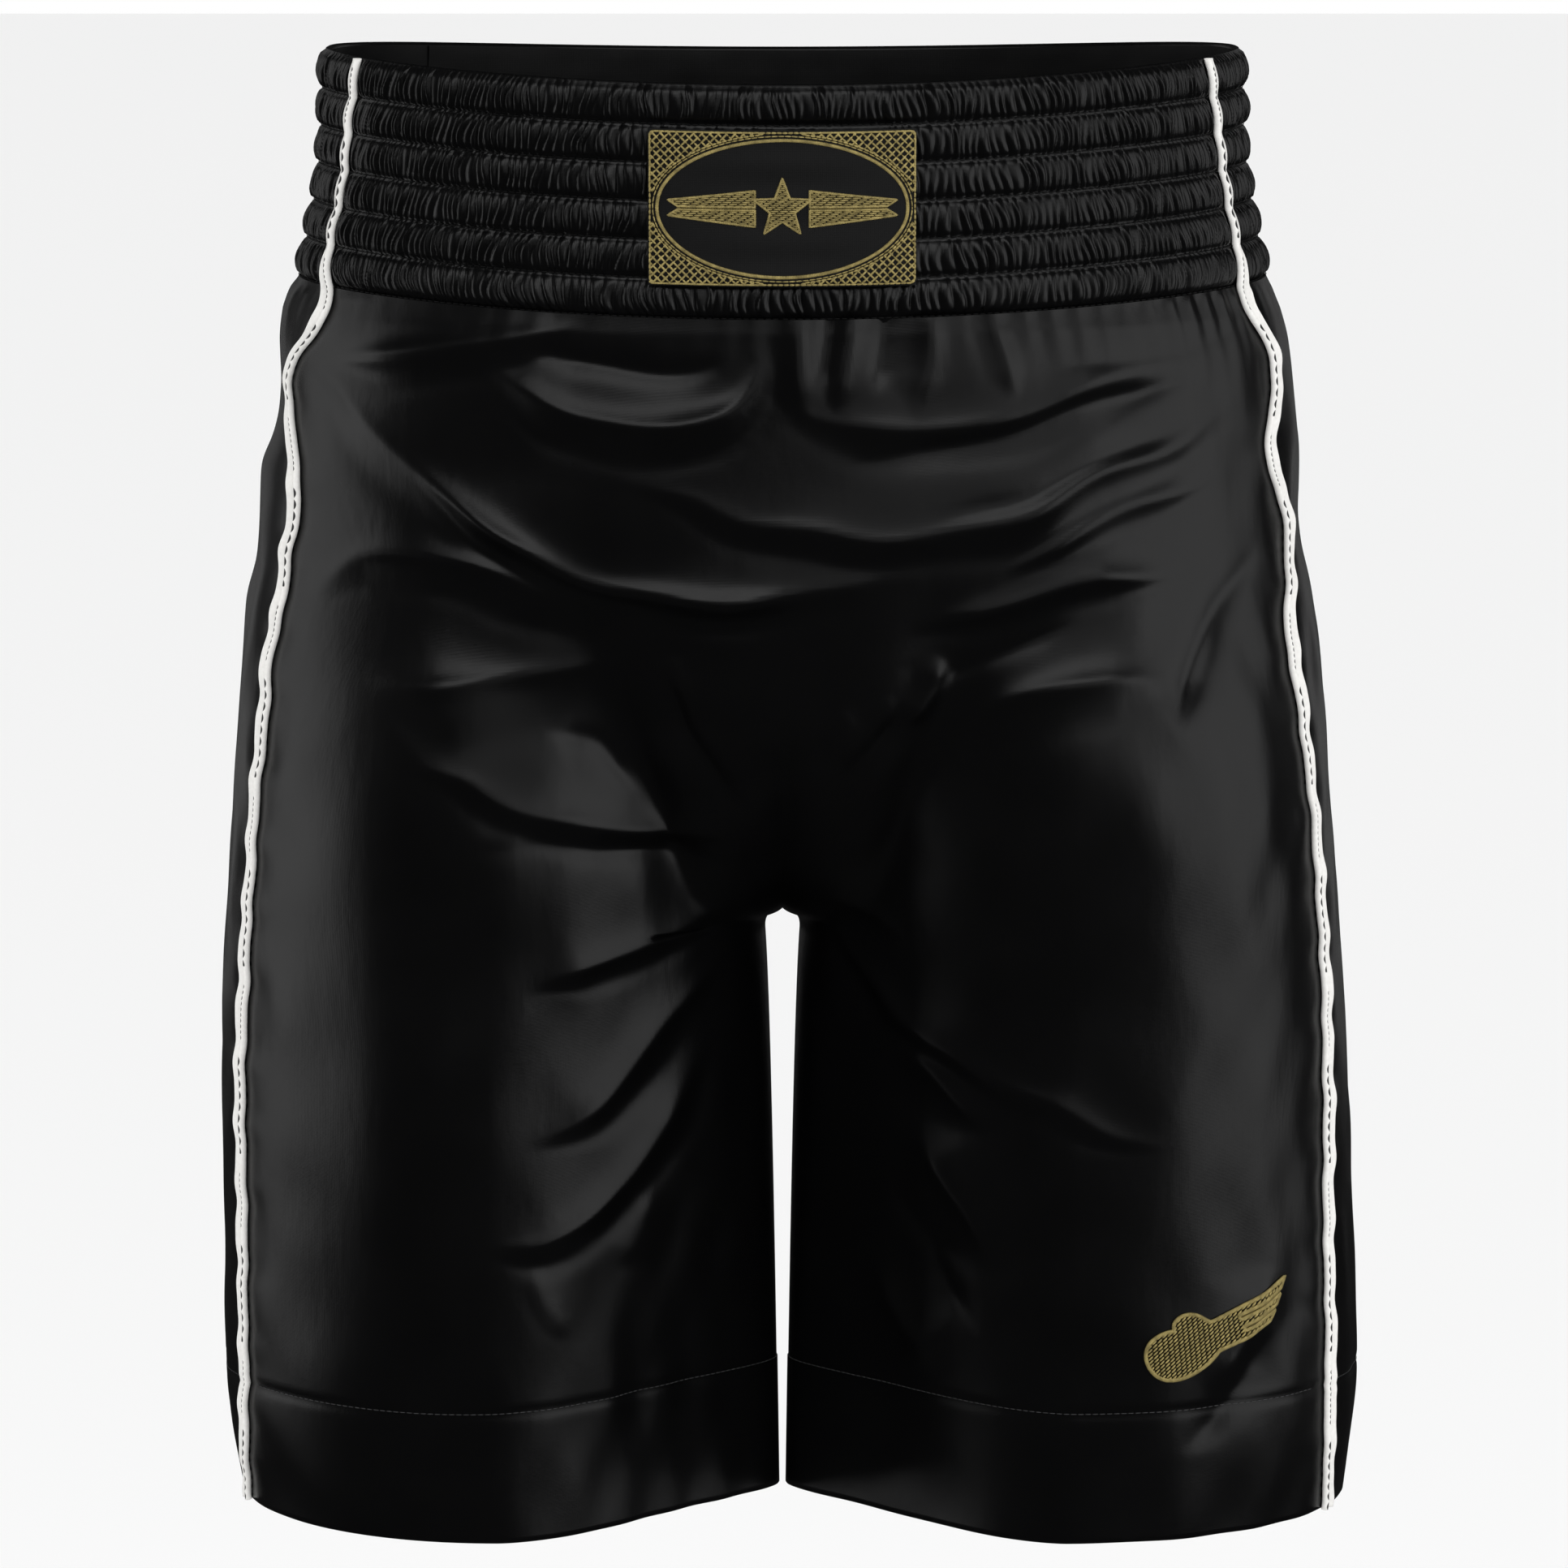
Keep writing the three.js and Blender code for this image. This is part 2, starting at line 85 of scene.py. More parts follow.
# How far the piping lies in from the widest point of the outline, as (height, inset)
PIPING_INSET = {
    -1: [
        (0, 15.8), (-12, 14.9), (-23, 13.3), (-51, 12.4), (-65, 11.3), (-80, 12.7), (-87, 17), (-95, 18.6),
        (-104, 15), (-111, 10.3), (-123, 6.6), (-136, 10.7), (-149, 15.2), (-161, 17.9), (-174, 17.9),
        (-187, 16), (-200, 16.8), (-225, 14), (-242, 15), (-266, 13.7), (-337, 13.2), (-384, 12.1),
        (-431, 12.4), (-502, 13.7), (-525, 11.2), (-553, 5),
    ],
    1: [
        (0, 15.4), (-16, 13.7), (-30, 12.4), (-51, 11.1), (-72, 10.7), (-80, 11.8), (-89, 14.8), (-98, 13.1),
        (-104, 11), (-114, 9.2), (-123, 9.5), (-136, 13.8), (-147, 16.1), (-155, 14.8), (-161, 12.1),
        (-168, 10), (-177, 8.8), (-187, 9.8), (-193, 11.3), (-206, 14.1), (-219, 15.4), (-242, 13.8),
        (-289, 11.1), (-360, 10.9), (-431, 13.3), (-502, 14.2), (-525, 13.2), (-553, 9),
    ],
}
INSET_SMOOTHING = 3.0
SEAM_TURNS = (0.6, pi / 2)  # the side seams are looked for between these turns
SEAM_HALVINGS = 30
# How far the sides stand off the plain outline, as (height, distance)
SIDE_WAVES = {
    -1: [
        (-84, 0.5), (-93, 1.9), (-110, -1.4), (-123, -3.9), (-136, -4.4), (-146, -3), (-155, 0), (-193, -1.9),
        (-206, 0), (-289, -1.2), (-360, 0), (-407, -0.8), (-455, -3), (-553, -4.2),
    ],
    1: [
        (-84, 0.5), (-104, 0), (-148, -0.5), (-161, -2.3), (-174, -4.2), (-187, -4), (-200, -2.2),
        (-219, -0.9), (-289, -1.6), (-360, 0.2), (-407, 2), (-502, 2.8), (-553, 4.5),
    ],
}
SIDE_REACH = 0.42

# ---- folds
# Each fold is (height, spread above, spread below, [(x, z), ...]) on the front or back as it is
# faced, drawn from left to right so that "above" is the upper side.
FRONT_FOLDS = [
    # the long smile from the right hip under the belly
    (2.2, 14, 6, [(-178, -110), (-150, -136), (-122, -159), (-98, -174), (-70, -186)]),
    (6.0, 12, 5,
     [(-138, -146), (-98, -174), (-75, -185), (-50, -192), (-12, -194.5), (24, -190), (42, -183)]),
    # the arc above it and the gathers out of the waist seam
    (4.0, 6, 6, [(-112, -108), (-94, -118), (-72, -128), (-48, -130), (-20, -126), (-9, -112), (-8, -98)]),
    (-2.2, 5, 6, [(-98, -103), (-70, -109), (-40, -111), (-18, -106)]),
    (2.8, 7, 5, [(-176, -111), (-150, -109), (-117, -103), (-72, -94)]),
    (1.9, 4, 5, [(5, -76), (5, -104), (10, -131)]),
    (1.9, 4, 4, [(24, -76), (24, -104), (20, -129)]),
    (1.7, 6, 5, [(52, -76), (54, -104), (49, -130)]),
    (1.1, 4, 4, [(76, -76), (79, -100), (86, -122)]),
    (-1.6, 4, 4, [(15, -76), (15, -100), (16, -122)]),
    (-1.6, 5, 4, [(38, -76), (38, -100), (36, -122)]),
    # the rolls of the belly
    (2.7, 8, 6, [(-4, -116), (15, -129), (53, -132), (87, -127), (117, -117), (152, -106)]),
    (-2.6, 6, 7, [(20, -145), (49, -140.5), (85, -134), (117, -124), (160, -113)]),
    (4.0, 12, 5,
     [(-60, -148), (-48, -154), (-12, -166), (24, -171), (58, -171), (87, -164), (116, -151),
      (144, -141), (174, -125)]),
    (-1.2, 4, 4, [(50, -166), (87, -159), (117, -146), (150, -134)]),
    (-0.7, 5, 5, [(96, -109), (120, -110), (146, -106), (178, -99)]),
    # the left hip
    (2.4, 8, 4, [(80, -184), (107, -171), (129, -162), (162, -154)]),
    (3.0, 9, 4, [(44, -206), (78, -199), (104, -192), (122, -188), (150, -187)]),
    (-1.5, 4, 4, [(50, -232), (62, -224), (87, -213), (111, -204)]),
    (-3.0, 6, 7, [(178, -182), (164, -199), (155, -215), (150, -229), (147, -247)]),
    (2.6, 10, 8, [(60, -245), (79, -235), (99, -228), (122, -225), (146, -229)]),
    # the right hip, below the smile
    (3.4, 12, 6,
     [(-178, -202), (-164, -188), (-150, -181), (-121, -182), (-88, -192), (-58, -201), (-37, -214)]),
    (2.4, 9, 9, [(-156, -228), (-120, -228), (-90, -224), (-46, -215)]),
    (2.5, 9, 3.8,
     [(-141, -253), (-118, -264), (-98, -274), (-75, -281), (-48, -285), (-25, -288), (-8, -295)]),
    (-1.2, 4, 6, [(-116, -289), (-86, -288), (-60, -290), (-33, -298), (-5, -305)]),
    (-1.5, 4, 4, [(-88, -243), (-69, -248), (-60, -260), (-55, -272)]),
    # pinches over the crotch
    (-4.0, 6, 7, [(-45, -222), (-37, -244), (-25, -262), (-10, -286)]),
    (1.6, 3, 3, [(-43, -214), (-39, -223), (-35, -234)]),
    (2.6, 4, 4, [(59, -216), (55, -228), (46, -244)]),
    (-3.6, 7, 6, [(46, -234), (38, -250), (14, -276)]),
    (1.3, 4, 4, [(26, -234), (23, -246), (18, -260)]),
    (-4.0, 20, 20, [(0, -240), (0, -285), (0, -322)]),
    # the wearer's right leg, out of the crotch
    (2.0, 9, 3.6, [(-97, -342), (-80, -337), (-50, -328), (-18, -317)]),
    (2.6, 9, 5, [(-97, -401), (-78, -393), (-58, -376), (-37, -353), (-22, -335)]),
    (3.3, 10, 5, [(-114, -439), (-88, -438), (-65, -423), (-47, -402), (-30, -370)]),
    (0.5, 3, 3, [(-92, -444), (-88, -460), (-79, -480)]),
    (0.8, 5, 5, [(-45, -422), (-54, -438), (-63, -454)]),
    # the wearer's left leg
    (2.6, 7, 4, [(12, -322), (23, -332), (34, -346), (46, -359), (78, -375), (118, -394), (146, -403)]),
    (1.6, 5, 3, [(6, -316), (30, -318), (48, -328)]),
    (2.4, 10, 8, [(40, -366), (62, -381), (80, -397)]),
    (3.0, 12, 9, [(46, -400), (70, -426), (80, -452)]),
    (3.0, 10, 8, [(36, -450), (44, -476), (62, -494)]),
    (-1.2, 7, 7, [(38, -418), (56, -448), (74, -478)]),
    (2.6, 10, 8, [(160, -500), (172, -478), (184, -450)]),
    (-2.2, 8, 6, [(148, -520), (168, -500), (186, -476)]),
]
BACK_FOLDS = [
    (4.0, 14, 9, [(-150, -128), (-90, -160), (-30, -176), (40, -172)]),
    (3.4, 12, 8, [(-20, -140), (50, -152), (110, -138), (156, -116)]),
    (4.2, 14, 8, [(-120, -224), (-70, -214), (-20, -232)]),
    (3.6, 13, 8, [(18, -236), (70, -218), (124, -226)]),
    (-4.0, 12, 12, [(-2, -230), (0, -262), (0, -296)]),
    (4.4, 13, 7, [(-116, -352), (-70, -338), (-18, -316)]),
    (4.2, 7, 13, [(18, -318), (66, -342), (120, -360)]),
    (3.8, 11, 8, [(-96, -420), (-62, -386), (-32, -350)]),
    (3.8, 8, 11, [(30, -350), (58, -392), (88, -430)]),
]
# Broad swells of the cloth: (height, x, z, spread across, spread up)
FRONT_SWELLS = [
    (-4, -42, -530, 30, 80),
    (-3, 40, -530, 24, 60),
    (7.5, -136, -385, 28, 90),
    (-2.4, 118, -320, 32, 80),
    (-4, 0, -225, 44, 30),
]
CREST = Sizes(round=0.9, narrow=3.2, share=0.3, end=0.4, power=1.3, fade=0.3)
UNDERCUT = Sizes(height=0.2, place=2.1, spread=0.9)  # the hollow under each fold, in shares of its own
BACK_TO_FRONT = (1.8, 1.4)  # the turns between which the back's folds give way to the front's
FOLD_REACH = 4  # how many spreads from its line a fold is still felt
# Soft waves, as (height, length, count): they shift the folds, vary their height and roll the cloth
WANDER = (1.0, 46.0, 7)
UNEVEN = (0.15, 70.0, 5)
RIPPLES = (0.28, 52.0, 9)
TOP_GATHERS = Sizes(height=0.9, length=12.0, fade=12.0, quiet=0.25, lively_x=(-40, 0), start=4)
SEAM_PUCKERS = Sizes(height=0.4, behind=3.0, behind_turn=0.05, length=14.0, reach=9.0)
TOP_HOLD = 6.0  # how far under the band the cloth is still held to the plain outline
SEAM_HOLD = 0.3  # within this turn of a centre seam or inseam the cloth moves only in and out
HEM_CREASE = Sizes(depth=0.55, spread=1.6)
INSEAM_REACH = 0.35  # within this turn of the inseam the legs carry no folds

# ---- cloth grid
FRONT_COLUMNS = 146
BACK_COLUMNS = 140
TOP_ROWS = 52
RISE_ROWS = 128
ARCH_ROWS = 8
THIGH_ROWS = 108
HEM_ROWS = 26
TURNUP_ROWS = 6
TURNUP_LIFT = -1.6
HEM_ROUND = 0.5  # how far the fold of the hem hangs below its outer row
PANEL_DROP = 0.6  # how far under the band the panels start
CLOTH_THICKNESS = 0.35


def ease(value, low, high):
    """0 at low and 1 at high, easing in and out between them."""
    t = np.clip((value - low) / (high - low), 0, 1)
    return t * t * (3 - 2 * t)


def lerp(a, b, t):
    return a + (b - a) * t


def outline(z, column):
    """The half width (column 1) or half depth (column 2) at a height, on a smooth curve."""
    knots, values = OUTLINE[:, 0], OUTLINE[:, column]
    last = len(knots) - 1
    before = np.maximum(np.arange(last + 1) - 1, 0)
    after = np.minimum(np.arange(last + 1) + 1, last)
    slopes = (values[after] - values[before]) / (knots[after] - knots[before])
    i = np.clip(np.searchsorted(-knots, -z, side="right") - 1, 0, last - 1)
    span = knots[i + 1] - knots[i]
    t = (z - knots[i]) / span
    lead = t * (1 - t) ** 2 * slopes[i] * span
    trail = t * t * (t - 1) * slopes[i + 1] * span
    return lerp(values[i], values[i + 1], t * t * (3 - 2 * t)) + lead + trail


def parting(turn, z):
    """How far the leg tubes have parted: 0 above the rise, 1 from the crotch down."""
    t = np.clip((RISE_TOP_Z - z) / (RISE_TOP_Z - CROTCH_Z), 0, 1)
    under_crotch = 1 - np.sqrt(1 - t * t)
    down_thigh = t * t * (3 - 2 * t)
    return lerp(down_thigh, under_crotch, ease(np.abs(np.cos(turn)), CROTCH_REACH, 1) ** 2)


def leg_gap(z):
    """Half the space between the legs at a height, arched under the crotch."""
    below = np.clip(CROTCH_Z - z, 0, CROTCH_Z - HEM_Z)
    arch = np.sqrt(1 - (1 - np.minimum(below / CROTCH_ARCH, 1)) ** 2)
    narrowing = (below / (CROTCH_Z - HEM_Z)) ** 0.5
    return arch * lerp(LEG_GAP_TOP, LEG_GAP_HEM, narrowing)


def gentle_gap(z):
    """The gap as the outer cloth feels it, opening slowly over the crotch's height."""
    opened = ease(CROTCH_Z - z, -GENTLE_REACH, GENTLE_REACH)
    narrowing = ease(z, CROTCH_Z + GENTLE_REACH, HEM_Z)
    return opened * lerp(LEG_GAP_TOP, LEG_GAP_HEM, narrowing)


def dip(turn, z):
    """How far the waist sinks at the front and back."""
    return SADDLE * np.cos(turn) ** 2 * ease(z, CROTCH_Z, -BAND_HEIGHT)


def skin(turn, z):
    """Points of the plain outline on the wearer's left half."""
    width, depth = outline(z, 1), outline(z, 2)
    inner = ease(np.abs(np.cos(turn)), ARCH_REACH, 1)
    gap = lerp(gentle_gap(z), leg_gap(z), inner)
    leg_width = (width - gap) / 2
    angle = 2 * turn
    thinning = lerp(TAPER_HEM, TAPER_CROTCH, ease(z, HEM_Z, CROTCH_Z))
    taper = 1 - thinning * np.maximum(0, np.cos(angle)) ** 1.5
    share = parting(turn, z)
    x = lerp(width * np.sin(turn), gap + leg_width * (1 - np.cos(angle)), share)
    y = lerp(-depth * np.cos(turn), -depth * np.sin(angle) * taper, share)
    return np.stack([x, y, z - dip(turn, z)], -1)


def unit(vectors):
    return vectors / np.maximum(np.linalg.norm(vectors, axis=-1, keepdims=True), 1e-9)


def skin_frame(turn, z):
    """Points of the outline, the way across towards the back, the way out, and mm per radian."""
    step = 1e-3
    across = skin(turn + step, z) - skin(turn - step, z)
    down = skin(turn, z - step) - skin(turn, z + step)
    speed = np.linalg.norm(across, axis=-1) / (2 * step)
    return skin(turn, z), unit(across), unit(np.cross(down, across)), speed


def smooth_table(table, spread):
    """A table of (height, value) resampled every millimetre and rounded off."""
    rows = np.array(table, float)
    heights = np.arange(HEM_Z - 20, 20)
    values = np.interp(heights, rows[::-1, 0], rows[::-1, 1])
    reach = np.arange(-3 * spread, 3 * spread + 1)
    kernel = np.exp(-((reach / spread) ** 2) / 2)
    padded = np.pad(values, len(reach) // 2, mode="edge")
    return heights, np.convolve(padded, kernel / kernel.sum(), mode="valid")[: len(heights)]


INSETS = {side: smooth_table(table, INSET_SMOOTHING) for side, table in PIPING_INSET.items()}
WAVES = {side: smooth_table(table, INSET_SMOOTHING) for side, table in SIDE_WAVES.items()}


def seam_turn(side, z):
    """The turn of the side seam at a height."""
    z = np.asarray(z, float)
    wanted = outline(z, 1) - np.interp(z, *INSETS[side])
    low, high = (np.full(z.shape, limit) for limit in SEAM_TURNS)
    for _ in range(SEAM_HALVINGS):
        middle = (low + high) / 2
        short = skin(middle, z)[..., 0] < wanted
        low, high = np.where(short, middle, low), np.where(short, high, middle)
    return (low + high) / 2


def run_along(points):
    """Distances along a line of points, from its start."""
    return np.concatenate([[0], np.cumsum(np.linalg.norm(np.diff(points, axis=0), axis=1))])


def smooth_path(points, steps=5):
    """A Catmull-Rom curve through a few points."""
    knots = np.array(points, float)
    ends = np.vstack([2 * knots[0] - knots[1], knots, 2 * knots[-1] - knots[-2]])
    path = []
    for a, b, c, d in zip(ends, ends[1:], ends[2:], ends[3:]):
        for t in np.arange(steps) / steps:
            bend = (2 * a - 5 * b + 4 * c - d) * t * t + (3 * b - a - 3 * c + d) * t**3
            path.append(b + ((c - a) * t + bend) / 2)
    return np.array([*path, knots[-1]])


def fold_height(x, z, height, above, below, points):
    """One drawn fold: a crisp crest between a wide upper side and a steep lower side."""
    path = smooth_path(points)
    run = run_along(path)
    run /= run[-1]
    nearest = np.full(x.shape, np.inf)
    upper = np.zeros(x.shape, bool)
    along = np.zeros(x.shape)
    for (ax, az), (bx, bz), start, end in zip(path, path[1:], run, run[1:]):
        ex, ez = bx - ax, bz - az
        t = np.clip(((x - ax) * ex + (z - az) * ez) / (ex * ex + ez * ez), 0, 1)
        dx, dz = x - ax - t * ex, z - az - t * ez
        distance = np.hypot(dx, dz)
        closer = distance < nearest
        nearest = np.where(closer, distance, nearest)
        upper = np.where(closer, ex * dz - ez * dx > 0, upper)
        along = np.where(closer, lerp(start, end, t), along)
    fade = ease(along, 0, CREST.fade) * ease(1 - along, 0, CREST.fade)
    spread = np.where(upper, above, below) * lerp(CREST.end, 1, fade)
    from_crest = np.hypot(nearest, CREST.round) - CREST.round
    wide = np.exp(-((from_crest / spread) ** CREST.power))
    narrow = np.exp(-((from_crest / CREST.narrow) ** CREST.power))
    hollow = np.exp(-(((nearest / spread - UNDERCUT.place) / UNDERCUT.spread) ** 2))
    undercut = UNDERCUT.height * hollow * (~upper & (height > 0))
    return height * fade * (lerp(wide, narrow, CREST.share) - undercut)


def fold_field(x, z, folds):
    """The height of the drawn folds at points of the cloth, as it is faced."""
    total = np.zeros(x.shape)
    for height, above, below, points in folds:
        low, high = np.min(points, axis=0), np.max(points, axis=0)
        middle, half = (low + high) / 2, (high - low) / 2 + FOLD_REACH * max(above, below)
        near = (np.abs(x - middle[0]) < half[0]) & (np.abs(z - middle[1]) < half[1])
        total[near] += fold_height(x[near], z[near], height, above, below, points)
    return total


def swell_field(x, z, swells):
    """The height of the broad swells."""
    total = np.zeros(x.shape)
    for height, cx, cz, across, up in swells:
        total += height * np.exp(-(((x - cx) / across) ** 2) - ((z - cz) / up) ** 2)
    return total


def ripple_field(x, z, height, length, count, seed):
    """Soft waves in every direction, from seeded draws."""
    draw = np.random.default_rng(seed)
    total = np.zeros(x.shape)
    for _ in range(count):
        heading, phase = draw.uniform(0, pi), draw.uniform(0, 2 * pi)
        wave = 2 * pi / (length * draw.uniform(0.6, 1.6))
        total += np.sin(wave * (x * math.cos(heading) + z * math.sin(heading)) + phase)
    return height * total / math.sqrt(count)


def gather_field(run, length, seed):
    """Uneven upright ridges along a gathered edge, between -1 and 1."""
    draw = np.random.default_rng(seed)
    total = np.zeros(run.shape)
    for share in (1.0, 0.7, 0.45):
        total += share * np.sin(2 * pi * run / (length * draw.uniform(0.8, 1.7)) + draw.uniform(0, 6))
    return total / 2


def relief(side, turn, base, speed):
    """How far the cloth stands out from the plain outline."""
    x, z = side * base[..., 0], base[..., 2]
    facing = ease(turn, *BACK_TO_FRONT)
    wander_x = ripple_field(x, z, *WANDER, SEED + 7)
    wander_z = ripple_field(x, z, *WANDER, SEED + 8)
    folds = facing * fold_field(x + wander_x, z + wander_z, FRONT_FOLDS)
    folds += (1 - facing) * fold_field(-x + wander_x, z + wander_z, BACK_FOLDS)
    raised = folds * (1 + ripple_field(x, z, *UNEVEN, SEED + 9))
    raised += facing * swell_field(x, z, FRONT_SWELLS)
    raised += np.interp(z, *WAVES[side]) * np.exp(-(((turn - pi / 2) / SIDE_REACH) ** 2))
    raised += ripple_field(x + 3 * base[..., 1], z, *RIPPLES, SEED)
    below = -BAND_HEIGHT - z
    fade = ease(below, 0, TOP_GATHERS.start) * np.exp(-np.maximum(below, 0) / TOP_GATHERS.fade)
    lively = ease(x, *TOP_GATHERS.lively_x) * facing + (1 - facing)
    gathers = gather_field(turn * OUTLINE[2, 1] * side, TOP_GATHERS.length, SEED + 1)
    raised += TOP_GATHERS.height * (fade * lerp(TOP_GATHERS.quiet, 1, lively)) * gathers
    past_seam = turn - seam_turn(side, z)
    pucker = gather_field(z + 7 * side, SEAM_PUCKERS.length, SEED + 2)
    behind = lerp(1, SEAM_PUCKERS.behind, ease(past_seam, 0, SEAM_PUCKERS.behind_turn))
    beside = np.exp(-((np.abs(past_seam) * speed / SEAM_PUCKERS.reach) ** 2))
    raised += SEAM_PUCKERS.height * behind * pucker * beside
    stitch_line = HEM_Z + HEM_DEPTH
    raised -= HEM_CREASE.depth * np.exp(-(((z - stitch_line) / HEM_CREASE.spread) ** 2))
    tucked = TUCK * np.clip(1 - below / TUCK_LENGTH, 0, 1)
    free = ease(turn, 0, INSEAM_REACH) * ease(pi - turn, 0, INSEAM_REACH)
    return raised * (1 - parting(turn, z) * (1 - free)) * ease(below, 0, TOP_HOLD) - tucked


def cloth(side, turn, z, lift=0.0):
    """Points of the satin below the band, lifted clear of it by a distance."""
    turn, z = np.broadcast_arrays(np.asarray(turn, float), np.asarray(z, float))
    base, _, outward, speed = skin_frame(turn, z)
    moved = outward * (relief(side, turn, base, speed) + lift)[..., None]
    moved[..., 0] *= ease(turn, 0, SEAM_HOLD) * ease(pi - turn, 0, SEAM_HOLD)
    point = base + moved
    point[..., 0] = side * np.maximum(point[..., 0], 0)
    return point


def on_band(turn, z, offset):
    """Points of the waistband, for a turn all the way round."""
    turn, z, offset = np.broadcast_arrays(turn, z, offset)
    x = (outline(z, 1) + offset) * np.sin(turn)
    y = -(outline(z, 2) + offset) * np.cos(turn)
    return np.stack([x, y, z - dip(turn, z)], -1)


# ---- meshes
def new_object(name, points, faces, material, uv=None):
    """A smooth mesh object from points in millimetres; uv has one pair for each point."""
    mesh = bpy.data.meshes.new(name)
    mesh.from_pydata((np.asarray(points, float).reshape(-1, 3) * MM).tolist(), [], faces)
    mesh.polygons.foreach_set("use_smooth", [True] * len(mesh.polygons))
    if uv is not None:
        layer = mesh.uv_layers.new(name="cut")
        corner = np.zeros(len(mesh.loops), int)
        mesh.loops.foreach_get("vertex_index", corner)
        layer.data.foreach_set("uv", np.asarray(uv, float).reshape(-1, 2)[corner].ravel())
    mesh.materials.append(material)
    mesh.validate()
    piece = bpy.data.objects.new(name, mesh)
    bpy.context.scene.collection.objects.link(piece)
    return piece


def grid_faces(rows, columns, flip=False):
    """Quads of a grid whose rows run down and whose columns run to the right, seen from outside."""
    index = np.arange(rows * columns).reshape(rows, columns)
    quads = np.stack([index[:-1, :-1], index[1:, :-1], index[1:, 1:], index[:-1, 1:]], -1).reshape(-1, 4)
    return (quads[:, ::-1] if flip else quads).tolist()


def tube_faces(stations, sides, flip=False):
    """Quads round a tube and a cap on each end."""
    index = np.arange(stations * sides).reshape(stations, sides)
    index = np.hstack([index, index[:, :1]])
    quads = np.stack([index[:-1, :-1], index[:-1, 1:], index[1:, 1:], index[1:, :-1]], -1).reshape(-1, 4)
    faces = [*quads.tolist(), index[0, -2::-1].tolist(), index[-1, :-1].tolist()]
    return [face[::-1] for face in faces] if flip else faces


def solidify(piece, thickness):
    """Gives a sheet its thickness, inwards, with crisp cut edges."""
    mesh = piece.data
    edge_of_corner = np.zeros(len(mesh.loops), int)
    mesh.loops.foreach_get("edge_index", edge_of_corner)
    faces_beside = np.bincount(edge_of_corner, minlength=len(mesh.edges))
    mesh.edges.foreach_set("use_edge_sharp", faces_beside == 1)
    shell = piece.modifiers.new("ply", "SOLIDIFY")
    shell.thickness = thickness * MM
    shell.offset = -1
    shell.use_even_offset = False


def place_piece(piece, slot, *nodes):
    """Fixes a piece to the body and hides the CAD nodes it replaces; the slot is not used."""
    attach(piece, "root")
    if nodes:
        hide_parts(*nodes)


def make_sheet(name, points, uv, material, slot, cad_node, thickness=0, flip=False):
    """A piece of cloth on a grid of points, cut to the size of that grid and thickened when a thickness is
    given.
    """
    rows, columns = points.shape[:2]
    sheet = new_object(name, points, grid_faces(rows, columns, flip), material, uv)
    if thickness:
        solidify(sheet, thickness)
    place_piece(sheet, slot, cad_node)


# ---- materials
def feed(socket, value):
    """Links a socket to another, or sets its number or colour."""
    if isinstance(value, bpy.types.NodeSocket):
        value.id_data.links.new(value, socket)
    else:
        socket.default_value = value


def node(tree, kind, inputs=None, **settings):
    """A node with its settings, its named inputs fed by numbers or by other nodes."""
    made = tree.nodes.new(kind)
    for name, value in settings.items():
        setattr(made, name, value)
    for name, value in (inputs or {}).items():
        feed(made.inputs[name], value)
    return made


def maths(operation, a, b=0.0):
    """One Math node on a socket and a number or second socket; returns its output."""
    return node(a.id_data, "ShaderNodeMath", {0: a, 1: b}, operation=operation).outputs[0]


def new_material(name, color, roughness, **sockets):
    """A Principled material with its plain numbers on the shader's own sockets."""
    material = bpy.data.materials.new(name)
    material.use_nodes = True
    shader = material.node_tree.nodes["Principled BSDF"]
    shader.inputs["Base Color"].default_value = (*color, 1)
    shader.inputs["Roughness"].default_value = roughness
    for socket, value in sockets.items():
        shader.inputs[socket.replace("_", " ")].default_value = value
    return material, material.node_tree, shader


def object_noise(tree, per_metre, detail=2.0, stretch=(1, 1, 1)):
    """Noise fixed to the object, with so many cells a metre; returns its value."""
    place = node(tree, "ShaderNodeTexCoord").outputs["Object"]
    stretched = node(tree, "ShaderNodeMapping", {"Vector": place, "Scale": stretch}).outputs["Vector"]
    cells = {"Vector": stretched, "Scale": per_metre, "Detail": detail}
    return node(tree, "ShaderNodeTexNoise", cells).outputs["Fac"]


def cut_coordinates(tree):
    """The place on the flat cloth, in millimetres across and along."""
    place = node(tree, "ShaderNodeUVMap", uv_map="cut").outputs["UV"]
    split = node(tree, "ShaderNodeSeparateXYZ", {"Vector": place})
    return [maths("MULTIPLY", split.outputs[k], 1 / MM) for k in range(2)]


def thread_wave(coordinate, pitch):
    """A wave from 0 to 1 across threads of a pitch in millimetres."""
    wave = maths("SINE", maths("MULTIPLY", coordinate, 2 * pi / pitch))
    return maths("MULTIPLY_ADD", wave, 0.5)  # the node's third input is 0.5 already


def ranged(value, low, high):
    """A value from 0 to 1 spread over a range."""
    inputs = {"Value": value, "To Min": low, "To Max": high}
    return node(value.id_data, "ShaderNodeMapRange", inputs).outputs["Result"]


def tinted(value, dark, light):
    """A colour between two, by a value."""
    ramp = node(value.id_data, "ShaderNodeValToRGB", {"Fac": value})
    for element, color in zip(ramp.color_ramp.elements, (dark, light)):
        element.color = (*color, 1)
    return ramp.outputs["Color"]


def bumped(shader, *layers):
    """Stacks bump layers of (height socket, depth in millimetres, strength)."""
    below = {}
    for height, depth, strength in layers:
        inputs = {"Distance": depth * MM, "Strength": strength, "Height": height, **below}
        below = {"Normal": node(shader.id_data, "ShaderNodeBump", inputs).outputs["Normal"]}
    feed(shader.inputs["Normal"], below["Normal"])


